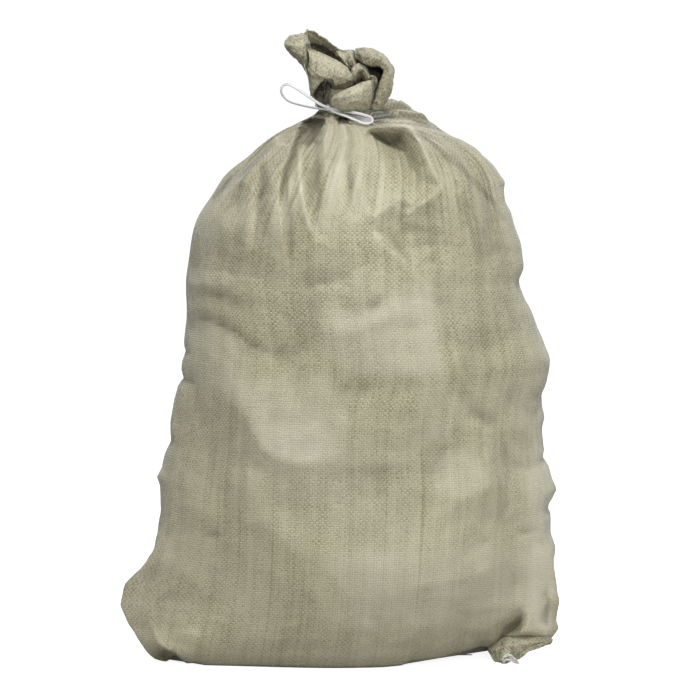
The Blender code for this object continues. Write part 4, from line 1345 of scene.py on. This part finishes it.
tail = {
    "thickness": 0.0011,
    "offFloor": 0.0006,
    "detail": 10,
    "sharpness": 0.85,
    "inwardShade": 1.3,
    # heights in mm and closeness of the crumples, the wrinkles and the bunched tapes
    "crumple": ((0.3, 80), (0.6, 130)),
    "wrinkle": (0.35, 300),
    "rib": (0.30, 420, 360),
    "blotch": (0.32, 80),
    # folds of the bunch's back and side, which the painted marks and the painted inward shade don't reach
    "outer": ("tail_rear", "tail_left_side", "tail_roll_back"),
    "ribTone": 0.40,
    # each fold is a net of places: picture x, picture y, depth in mm towards the back;
    # the first number is how crumpled the fold is, in mm, the second its tone: painted shade below zero,
    # painted highlight above
    "folds": {
        "tail_left_lobe": (1.2, -0.35, [
            [(288, 45, -24), (285.5, 41, -32), (284.5, 42, -40), (284.5, 44, -43), (285, 47, -41),
                (287, 50, -34), (289, 48, -24)],
            [(293, 42, -20), (290, 36.5, -33), (289.5, 40, -44), (289, 45, -49), (289.5, 50, -47),
                (291.5, 55, -37), (293, 52, -20)],
            [(300, 42, -18), (297, 34.5, -33), (296.5, 39, -46), (296, 46, -52), (296, 53, -51),
                (297.5, 60.5, -40), (300, 58, -20)],
            [(305, 42, -18), (303, 33.5, -32), (302.5, 38, -46), (302, 46, -53), (302, 55, -53),
                (302.5, 66, -42), (305, 64, -20)],
            [(310, 44, -18), (306, 34, -30), (306, 39, -42), (306, 47, -48), (306, 57, -50),
                (306, 71, -42), (309, 70, -20)],
            [(314, 48, -16), (310, 42, -24), (310, 46, -32), (311, 52, -40), (311, 60, -44),
                (309, 76, -40), (313, 74, -20)],
        ]),
        "tail_lip": (1.0, -0.1, [
            [(310, 50, -32), (306.5, 47, -46), (308.5, 52, -56), (309.5, 58, -58), (309, 64, -58),
                (308.5, 70, -55), (310, 71, -40)],
            [(315, 54, -34), (313, 49.5, -51), (313, 55, -59), (312.5, 62, -62), (312, 69, -62),
                (312, 76.5, -58), (315, 78, -40)],
            [(322, 58, -36), (320, 52.5, -53), (319, 59, -60), (318, 67, -63), (317.5, 74, -63),
                (318, 78, -58), (320, 79, -38)],
            [(330, 62, -36), (328.5, 56.5, -53), (327, 63, -60), (325.5, 71, -63), (325, 78, -62),
                (327, 79.5, -57), (329, 80, -38)],
            [(338, 67, -34), (337, 60.5, -51), (335.5, 67, -58), (334, 75, -62), (333.5, 83, -58),
                (334.5, 87.5, -52), (337, 88, -36)],
            [(346, 72, -32), (345.5, 66.5, -48), (344.5, 72, -54), (343, 78, -58), (343.5, 83.5, -54),
                (345, 87.5, -49), (346, 87, -34)],
            [(351, 77, -26), (352, 73.5, -43), (351.5, 77, -48), (350.5, 80, -50), (350, 83, -48),
                (351, 85, -45), (352, 84, -32)],
            [(354, 80, -22), (355, 78, -34), (355, 79.5, -38), (354.5, 81, -39), (354, 82, -38),
                (354, 83, -36), (354, 82, -24)],
        ]),
        "tail_back_flap": (2.0, -0.3, [
            [(304, 34, -34), (304, 39, -28), (305, 44, -22), (306, 50, -20)],
            [(307, 29, -34), (308.5, 36, -27), (310, 43, -20), (311, 51, -18)],
            [(313, 31.5, -33), (314, 38, -26), (316, 46, -18), (317, 54, -16)],
            [(320, 35.5, -32), (321, 42, -24), (323, 50, -16), (325, 58, -14)],
            [(327, 40, -30), (328, 47, -22), (330, 54, -14), (332, 62, -12)],
            [(334, 45.5, -28), (335, 52, -20), (337, 59, -12), (339, 67, -12)],
            [(341, 50, -26), (342, 56, -18), (344, 63, -12), (346, 71, -12)],
        ]),
        "tail_left_flap": (0.7, -0.15, [
            [(306.5, 66, -46), (312, 72, -55), (319, 77, -58), (328, 78.5, -58)],
            [(308.5, 78, -44), (312, 81, -54), (317, 82, -56), (321.5, 81.5, -56)],
            [(309.5, 87, -42), (311.5, 88, -51), (314, 88, -53), (316.5, 87.5, -52)],
            [(311, 96, -38), (311.5, 95.7, -45), (312, 95.4, -46), (312.6, 95, -45)],
        ]),
        "tail_left_inner": (1.8, -0.8, [
            [(324, 80, -26), (318, 86, -32), (312, 92, -34)],
            [(326, 86, -34), (321, 91, -40), (315, 98, -40)],
            [(326, 94, -36), (322, 98, -43), (318, 102, -42)],
            [(324, 103, -36), (322, 105, -42), (320, 107, -40)],
            [(325, 110, -32), (323, 110, -38), (321, 110, -36)],
        ]),
        "tail_strand": (0.6, -0.2, [
            [(327, 78, -40), (330.5, 77, -47), (334, 78, -40)],
            [(325.5, 87, -40), (328.5, 86, -50), (331, 88, -40)],
            [(324.5, 95, -40), (327, 94, -50), (329.5, 96, -40)],
            [(322.5, 104, -38), (325, 103, -46), (327, 105, -38)],
            [(323, 111, -30), (325, 110, -36), (327, 111, -30)],
        ]),
        "tail_petal": (0.9, 0.0, [
            [(334, 99, -26), (335, 96, -30), (340, 95, -34), (350, 90, -38), (362, 85, -38),
                (371, 83, -34), (375, 82, -30)],
            [(331, 100, -38), (334, 95.5, -48), (340, 92.5, -56), (350, 88, -61), (362, 82.5, -60),
                (371, 80.5, -53), (376, 79.5, -42)],
            [(329, 103, -38), (332, 99.5, -52), (339, 98, -62), (350, 95, -67), (362, 91, -65),
                (370, 89, -57), (374.5, 90, -42)],
            [(329.5, 106, -36), (332, 104.5, -50), (340, 105, -60), (350, 104, -64), (361, 101.5, -62),
                (369, 99, -53), (373, 100, -38)],
            [(332, 108, -34), (334, 109, -44), (341, 111, -51), (350, 112.5, -54), (360, 111.5, -52),
                (367, 109.5, -44), (370.5, 108, -34)],
            [(335, 110, -28), (337, 110.5, -34), (342, 113, -40), (350, 115, -42), (359, 114, -40),
                (365, 112, -34), (368, 110, -28)],
        ]),
        "tail_lobe": (1.2, -0.15, [
            [(356, 60, -26), (355, 57, -38), (355, 52.5, -40), (355.5, 48.5, -28), (357, 50, -10)],
            [(364, 66, -28), (363, 63, -46), (362.5, 56, -50), (363, 48.2, -34), (364, 50, -8)],
            [(372, 67, -28), (371, 65, -48), (371, 57, -53), (371.5, 48.5, -36), (373, 51, -6)],
            [(380, 67, -28), (379, 65, -49), (380, 59, -53), (381.5, 53, -36), (381, 55, -4)],
            [(384, 71, -28), (384.5, 69, -48), (387, 64.5, -52), (389, 61, -35), (387, 62, -2)],
            [(382, 77, -28), (383, 75.5, -46), (388.5, 73.5, -49), (394, 70, -34), (390, 71, -2)],
            [(379, 83, -26), (380.5, 82.5, -44), (387, 82.5, -47), (393, 82.5, -32), (390, 82, -2)],
            [(376, 91, -26), (377.5, 90.5, -42), (384, 92, -45), (390.5, 93, -30), (387, 92, -4)],
            [(373, 100, -26), (375, 99.5, -40), (380.5, 101, -42), (386, 102, -28), (383, 101, -6)],
            [(369, 109, -24), (371, 108.5, -36), (375.5, 110, -38), (380, 109.5, -28), (378, 108, -10)],
        ]),
        "tail_crumple": (2.6, -0.3, [
            [(333, 53, -10), (337, 49, -20), (344, 50.5, -26), (351, 49.5, -24), (357, 53, -14)],
            [(335, 60, -18), (339, 55, -36), (345, 58, -31), (351, 55, -39), (357, 60, -20)],
            [(340, 67, -20), (344, 61, -42), (348, 65, -34), (353, 61, -44), (359, 65, -22)],
            [(346, 74, -20), (350, 68, -40), (353, 72, -32), (356, 67, -42), (361, 71, -22)],
        ]),
        "tail_arch": (0.9, 0.0, [
            [(349, 82, -24), (350, 76, -38), (352, 78, -46), (355, 83, -36), (358, 87, -24)],
            [(350, 73, -28), (352, 69, -44), (356, 72, -51), (358, 79, -42), (360, 83, -26)],
            [(355, 66, -28), (358.5, 63.5, -44), (361, 68, -52), (361, 76, -44), (362, 81, -26)],
            [(362, 65, -28), (366, 67, -42), (366, 72, -50), (364, 78, -43), (363, 82, -26)],
            [(366, 72, -28), (370, 75, -38), (369, 79, -45), (367, 82, -38), (365, 85, -26)],
        ]),
        "tail_curl": (0.5, 0.2, [
            [(368, 78, -40), (368, 82, -38), (369, 86, -34)],
            [(371, 75, -46), (372, 80, -46), (372, 86, -40)],
            [(375, 76, -48), (376, 81, -48), (374, 88, -42)],
            [(377, 80, -44), (377, 84, -44), (375, 90, -40)],
        ]),
        # a sheet deep in the hollow behind the folds, painted dark as shade
        "tail_hollow": (3.0, -1.9, [
            [(338, 54, -10), (348, 53, -14), (358, 55, -12), (370, 57, -10), (380, 61, -8)],
            [(338, 64, -12), (348, 62, -20), (358, 64, -14), (370, 68, -14), (384, 70, -10)],
            [(336, 76, -14), (346, 74, -24), (358, 76, -18), (370, 78, -20), (384, 80, -12)],
            [(330, 88, -18), (344, 88, -30), (358, 88, -24), (370, 90, -26), (382, 92, -14)],
            [(324, 98, -20), (340, 100, -28), (356, 100, -28), (368, 102, -28), (378, 102, -16)],
            [(320, 108, -20), (336, 110, -28), (352, 112, -28), (364, 112, -26), (372, 110, -18)],
        ]),
        "tail_left_side": (1.4, -0.2, [
            [(303, 46, -40), (301, 47, -32), (302, 47, -24), (308, 48, -16)],
            [(303, 56, -46), (300, 57, -36), (301.5, 57, -26), (308, 58, -12)],
            [(304.5, 66, -48), (303.5, 66, -36), (304.5, 66, -24), (310, 66, -8)],
            [(308.5, 76, -50), (308, 76, -36), (308.5, 76, -24), (312, 77, -8)],
            [(311, 86, -48), (310.5, 86, -36), (311, 86, -24), (314, 88, -8)],
            [(313, 96, -43), (312.5, 96, -34), (313.5, 96, -24), (317, 97, -10)],
            [(319.5, 107, -36), (319, 107, -31), (319.5, 107, -24), (323, 108, -14)],
        ]),
        "tail_roll_back": (1.2, -0.2, [
            [(287, 45, -27), (286.5, 47, -22), (288, 49.5, -27)],
            [(293, 40.5, -21), (292.5, 46, -11), (293, 52.5, -21)],
            [(300, 39, -19), (299.5, 48, -7), (300, 58.5, -21)],
            [(306, 39, -19), (305.5, 52, -5), (306, 66, -21)],
            [(312, 45, -18), (311.5, 58, -5), (312, 73, -20)],
        ]),
        "tail_rear": (1.6, -0.2, [
            [(312, 38, -22), (326, 46, -14), (342, 53, -10), (358, 52, -8), (374, 54, -8),
                (384, 62, -10)],
            [(309, 48, -18), (322, 53, -2), (340, 59, 4), (358, 57, 6), (376, 61, 4), (388, 70, -6)],
            [(309, 62, -16), (322, 64, 2), (340, 68, 10), (358, 68, 12), (376, 74, 8), (389, 82, -6)],
            [(311, 78, -18), (322, 80, 2), (340, 82, 10), (358, 84, 12), (374, 88, 6), (385, 94, -8)],
            [(314, 94, -20), (324, 96, -4), (340, 97, 4), (356, 98, 6), (370, 100, 2), (380, 102, -12)],
            [(319, 107, -24), (328, 108, -12), (340, 110, -6), (354, 111, -4), (366, 110, -8),
                (374, 108, -18)],
        ]),
    },
}


def creased(track, at, share):
    # between a smooth curve (0) and straight runs with sharp bends (1)
    smooth = through(track, at)
    k = min(int(at), len(track) - 2)
    straight = [a + (b - a) * (at - k) for a, b in zip(track[k][1:], track[k + 1][1:])]
    return [s * (1 - share) + f * share for s, f in zip(smooth, straight)]


def netPoints(net, detail):
    # a dense sheet through a coarse net of places
    rows, columns = len(net), len(net[0])
    lines = []
    for line in net:
        world = numbered([tuple(seenAt(px, py, depth / 1000)) for px, py, depth in line])
        steps = (columns - 1) * detail
        lines.append([creased(world, k * (columns - 1) / steps, tail["sharpness"])
                      for k in range(steps + 1)])
    steps = (rows - 1) * detail
    sheet = np.zeros((steps + 1, len(lines[0]), 3))
    for c in range(len(lines[0])):
        track = numbered([line[c] for line in lines])
        for k in range(steps + 1):
            sheet[k, c] = creased(track, k * (rows - 1) / steps, tail["sharpness"])
    return sheet


def sheetNormals(points):
    normal = np.cross(np.gradient(points, axis=1), np.gradient(points, axis=0))
    return normal / np.maximum(np.linalg.norm(normal, axis=-1, keepdims=True), 1e-9)


def sheetSpans(points):
    # how far along and across the sheet each point lies
    wide = np.linalg.norm(np.diff(points, axis=1), axis=-1)
    tall = np.linalg.norm(np.diff(points, axis=0), axis=-1)
    s = np.concatenate((np.zeros((len(points), 1)), np.cumsum(wide, axis=1)), axis=1)
    t = np.concatenate((np.zeros((1, points.shape[1])), np.cumsum(tall, axis=0)), axis=0)
    return s, t


def sheetPlaces(points):
    s, t = sheetSpans(points)

    def places(r, c):
        cells = ((r, c), (r, c + 1), (r + 1, c + 1), (r + 1, c))
        return [(s[cell], t[cell]) for cell in cells]

    return places


# painted highlights and painted shade on the bunch, as in patches
tailSheenAndShade = {
    "roll under": (-0.9, 3, [(284, 45), (292, 50), (303, 58), (304, 66), (308, 80), (300, 72), (288, 58),
        (282, 48)]),
    "roll light": (0.3, 3, [(286, 42), (294, 36), (303, 34), (303, 46), (294, 47)]),
    "mouth": (-2.2, 2, [(305, 44.5), (314, 43), (324, 45), (334, 53), (340, 60), (333, 58.5), (318, 52),
        (306, 48.5)]),
    "back light": (0.9, 2, [(306, 30), (314, 35), (326, 43), (340, 52), (350, 60), (340, 57), (326, 48),
        (314, 43), (304, 44)]),
    "lip light": (0.4, 2, [(306, 49), (320, 55), (334, 62), (346, 71), (340, 76), (328, 68), (312, 60)]),
    "lip low": (-0.5, 4, [(334, 70), (347, 76), (352, 78), (344, 88), (334, 88), (330, 78)]),
    "lip under": (-1.6, 2, [(333, 86), (346, 82), (353, 78), (355, 82), (345, 88), (336, 91)]),
    "flap side": (-0.3, 3, [(308, 74), (318, 78), (312, 94), (309, 86)]),
    "triangle": (-2.4, 1.5, [(325, 78), (333, 79), (335, 86), (330, 96), (326, 107), (318, 106),
        (311, 97), (317, 89)]),
    "middle dark": (-1.6, 2, [(336, 54), (342, 58), (345, 65), (337, 61)]),
    "middle light": (0.5, 2, [(342, 52), (356, 50), (357, 58), (350, 62), (343, 60)]),
    "middle crest": (0.6, 1.5, [(351, 66), (356, 64), (360, 72), (356, 74)]),
    "middle crease": (-1.8, 1.5, [(349, 64), (352, 66), (352, 73), (348, 71)]),
    "middle gap": (-2.0, 1.5, [(357, 72), (362, 70), (365, 77), (361, 84), (356, 82)]),
    "lobe edge": (-1.6, 1.5, [(355, 49), (358, 49), (363, 62), (372, 68), (368, 74), (360, 66)]),
    "lobe hollow": (-1.6, 3, [(366, 66), (376, 66), (383, 70), (381, 80), (376, 98), (371, 108),
        (372, 90), (370, 76)]),
    "lobe right": (0.35, 4, [(386, 68), (394, 70), (393, 92), (386, 98), (383, 84)]),
    "lobe top": (-0.5, 4, [(358, 52), (372, 50), (380, 58), (376, 64), (362, 60)]),
    "petal edge": (0.5, 2, [(334, 96), (350, 90), (372, 80), (374, 84), (352, 94), (336, 99)]),
    "petal low": (-0.6, 4, [(328, 107), (345, 110), (368, 108), (366, 118), (330, 118)]),
}


def clothFold(name, crumple, tone, net, material):
    points = netPoints(net, tail["detail"])
    normal = sheetNormals(points)
    (soft, softClose), (sharp, sharpClose) = tail["crumple"]
    push = soft * crumple * noiseAt(points, softClose, (1, 1, 1), 2)
    push += sharp * crumple * (noiseAt(points, sharpClose, (1, 1, 1), 3, True) - 1)
    wrinkle, close = tail["wrinkle"]
    push += wrinkle * noiseAt(points, close, (1, 1, 1), 2)
    # ribs of bunched tapes, along and across the fold
    s, t = sheetSpans(points)
    spans = np.stack((s, t, 0 * s), -1)
    rib, alongClose, acrossClose = tail["rib"]
    ribs = noiseAt(spans, alongClose, (1, 0.2, 1), 2) + noiseAt(spans, acrossClose, (0.2, 1, 1), 2)
    push += rib * ribs
    points = points + normal * push[..., None] / 1000
    points[..., 2] = np.maximum(points[..., 2], tail["offFloor"])
    fold = gridMesh(name, points, sheetPlaces(points), False, material)
    # painted shade: cloth that lies further in is darker
    inward = points[..., 1] - points[..., 1].min()
    shade = smoothStep(0.15, 1.0, inward / max(inward.max(), 0.012))
    outer = name in tail["outer"]
    tone = tone - tail["inwardShade"] * shade * (not outer)
    blotch, close = tail["blotch"]
    tone = tone + blotch * noiseAt(points, close, (1, 1, 1), 3) + tail["ribTone"] * ribs
    # painted highlights and painted shade of the bunch's front
    if material is paints["cloth"] and not outer:
        tone = tone + patchTone(points, 0, tailSheenAndShade)
    storeMask(fold, "tone", tone)
    # painted shade in the hollows of the crumples
    storeMask(fold, "crease", smoothStep(0.15, 0.75, -push / crumple))
    skin = fold.modifiers.new("thickness", "SOLIDIFY")
    skin.thickness = tail["thickness"]
    skin.offset = 0
    placed(fold, "sack")


def makeTail():
    for name, (crumple, tone, net) in tail["folds"].items():
        clothFold(name, crumple, tone, net, paints["cloth"])
    print("tail made with", len(tail["folds"]), "folds")


# the sewn bottom hem where it shows at the corners

hem = {
    # each fold as in tail; its tone below zero is painted shade under the ear
    "folds": {
        "hem_right": (0.6, -0.55, [
            [(551, 636, -66), (552, 640, -71), (551, 643.5, -70), (547, 644, -62)],
            [(541, 637, -72), (541, 642, -78), (540, 646.5, -77), (538, 648, -68)],
            [(530, 636.5, -76), (529.5, 643, -84), (529, 650, -82), (527, 651, -72)],
            [(519, 636, -77), (518, 645, -88), (520, 658, -86), (517, 657, -76)],
            [(509, 636, -76), (506, 646, -88), (509, 661, -87), (506, 661, -78)],
            [(500, 639, -72), (495, 649, -84), (501, 664, -88), (499, 661, -78)],
            [(492, 645, -66), (488, 650, -76), (494, 661, -82), (495, 656, -72)],
        ]),
        "hem_right_lip": (0.3, -0.2, [
            [(553, 639, -73), (552, 642.5, -74), (550, 643, -68)],
            [(541, 643.5, -80), (540, 647.5, -81), (538, 647, -74)],
            [(530, 647, -86), (529, 651, -86), (527, 650, -78)],
            [(520, 654, -90), (519, 659, -89), (516, 656, -80)],
        ]),
        "hem_curl": (0.4, -0.5, [
            [(502, 641, -80), (506, 646, -90), (512, 650, -90), (520, 649, -86)],
            [(500, 648, -84), (502, 653, -93), (508, 656, -93), (516, 655, -89)],
            [(500, 655, -86), (500, 661, -93), (504, 663.5, -94), (510, 661, -91)],
            [(503, 661, -87), (503, 664, -92), (505, 664.5, -92), (508, 662, -89)],
        ]),
    },
    "frayed": [
        # picture places and depth in mm of the torn ends of white tape
        [(502.5, 661, -95), (504, 657, -97), (508, 656, -97), (514, 660, -96), (519.5, 666, -92)],
        [(505, 656, -96), (509, 655, -98), (513, 657, -97), (517, 661, -95), (519, 665, -93)],
        [(503, 663, -94), (506, 660, -97), (511, 660, -97), (516, 663, -94)],
    ],
    # width, how much of it is lost towards the tip, how far its edges lean, how crumpled in mm
    "frayedWidth": 0.0030,
    "frayedTaper": 0.7,
    "frayedLean": 0.3,
    "frayedCrumple": 0.2,
}


def makeHem():
    for name, (crumple, tone, net) in hem["folds"].items():
        clothFold(name, crumple, tone, net, paints["cloth"])
    for k, line in enumerate(hem["frayed"]):
        wide = hem["frayedWidth"] * photo["focal"] / photo["cameraDistance"]
        net = []
        for n, (px, py, depth) in enumerate(line):
            half = wide / 2 * (1 - hem["frayedTaper"] * n / (len(line) - 1))
            lean = half * hem["frayedLean"]
            net.append([(px - lean, py - half, depth), (px, py, depth - 1),
                        (px + lean, py + half, depth)])
        clothFold(f"frayed_end_{k + 1}", hem["frayedCrumple"], 0, net, paints["thread"])
    print("hem made")


# the tie

tie = {
    "radius": 0.0017,
    "diameter": 0.003,
    "flatness": 0.50,
    "spanRound": 0.008,
    "leftSteps": 44,
    "turnSteps": 40,
    "rightSteps": 30,
    "sides": 10,
    "turns": 2,
    "pitch": 0.0027,
    "neckHalfWidth": 0.0318,
    "neckHalfDepth": 0.0258,
    "start": -0.68,
    "bowY": -0.046,
    "leftLoop": [
        (-0.012, 0.0000, 0.6205), (-0.021, -0.0080, 0.6240), (-0.035, -0.0110, 0.6330),
        (-0.048, -0.0100, 0.6420), (-0.058, -0.0080, 0.6470), (-0.065, -0.0070, 0.6440),
        (-0.065, -0.0060, 0.6360), (-0.057, -0.0060, 0.6280), (-0.040, -0.0060, 0.6230),
        (-0.024, -0.0050, 0.6200), (-0.012, 0.0000, 0.6185),
    ],
    "rightLoop": [
        (-0.011, 0.0000, 0.6200), (0.006, -0.0060, 0.6170), (0.022, -0.0140, 0.6140),
        (0.034, -0.0200, 0.6100), (0.035, -0.0220, 0.6050), (0.026, -0.0210, 0.6040),
        (0.008, -0.0120, 0.6110), (-0.011, 0.0000, 0.6180),
    ],
}


def loopPoints(places, steps):
    loop = numbered([(x, tie["bowY"] + y, z) for x, y, z in places])
    return [Vector(through(loop, k * (len(loop) - 1) / steps)) for k in range(steps + 1)]


def tieRoute():
    # left loop, round the neck, right loop
    neckX, neckY, neckZ = sack["neck"]
    slope = math.tan(math.radians(sack["neckSlope"]))
    points = loopPoints(tie["leftLoop"], tie["leftSteps"])
    for k in range(tie["turns"] * tie["turnSteps"] + 1):
        turns = k / tie["turnSteps"]
        angle = (2 * turns + tie["start"]) * math.pi
        x = tie["neckHalfWidth"] * math.cos(angle)
        y = tie["neckHalfDepth"] * math.sin(angle)
        rise = tie["pitch"] * (turns - tie["turns"] / 2)
        points.append(Vector((neckX + x, neckY + y, neckZ - slope * x + rise)))
    return points + loopPoints(tie["rightLoop"], tie["rightSteps"])


def ribbonRows(points):
    # rings of the flat string, its broad side towards the camera
    rows = []
    high, thick, sides = tie["radius"], tie["radius"] * tie["flatness"], tie["sides"]
    side = Vector((0, 0, 1))
    for k, p in enumerate(points):
        ahead = points[min(k + 1, len(points) - 1)] - points[max(k - 1, 0)]
        along = ahead.normalized()
        side = (side - along * side.dot(along)).normalized()
        other = along.cross(side)
        row = []
        for n in range(sides):
            a = 2 * math.pi * n / sides
            row.append(tuple(p + side * (high * math.cos(a)) + other * (thick * math.sin(a))))
        rows.append(row)
    return np.array(rows)


def makeTie():
    points = tieRoute()
    walked = [0]
    for a, b in zip(points, points[1:]):
        walked.append(walked[-1] + (b - a).length)

    def places(r, c):
        left, right = (k / tie["sides"] * tie["spanRound"] for k in (c, c + 1))
        return [(left, walked[r]), (right, walked[r]), (right, walked[r + 1]), (left, walked[r + 1])]

    made = gridMesh("tie_string", ribbonRows(points), places, True, paints["string"])
    capped(made)
    placed(made, "tie_cord")


def dressThread():
    # the seam under the sack keeps its solid
    for slot in bpy.data.objects["seam_thread"].material_slots:
        slot.material = paints["thread"]


camera()
lighting()
floor()
makeTie()
makeTail()
makeHem()
makeSkin()
dressThread()
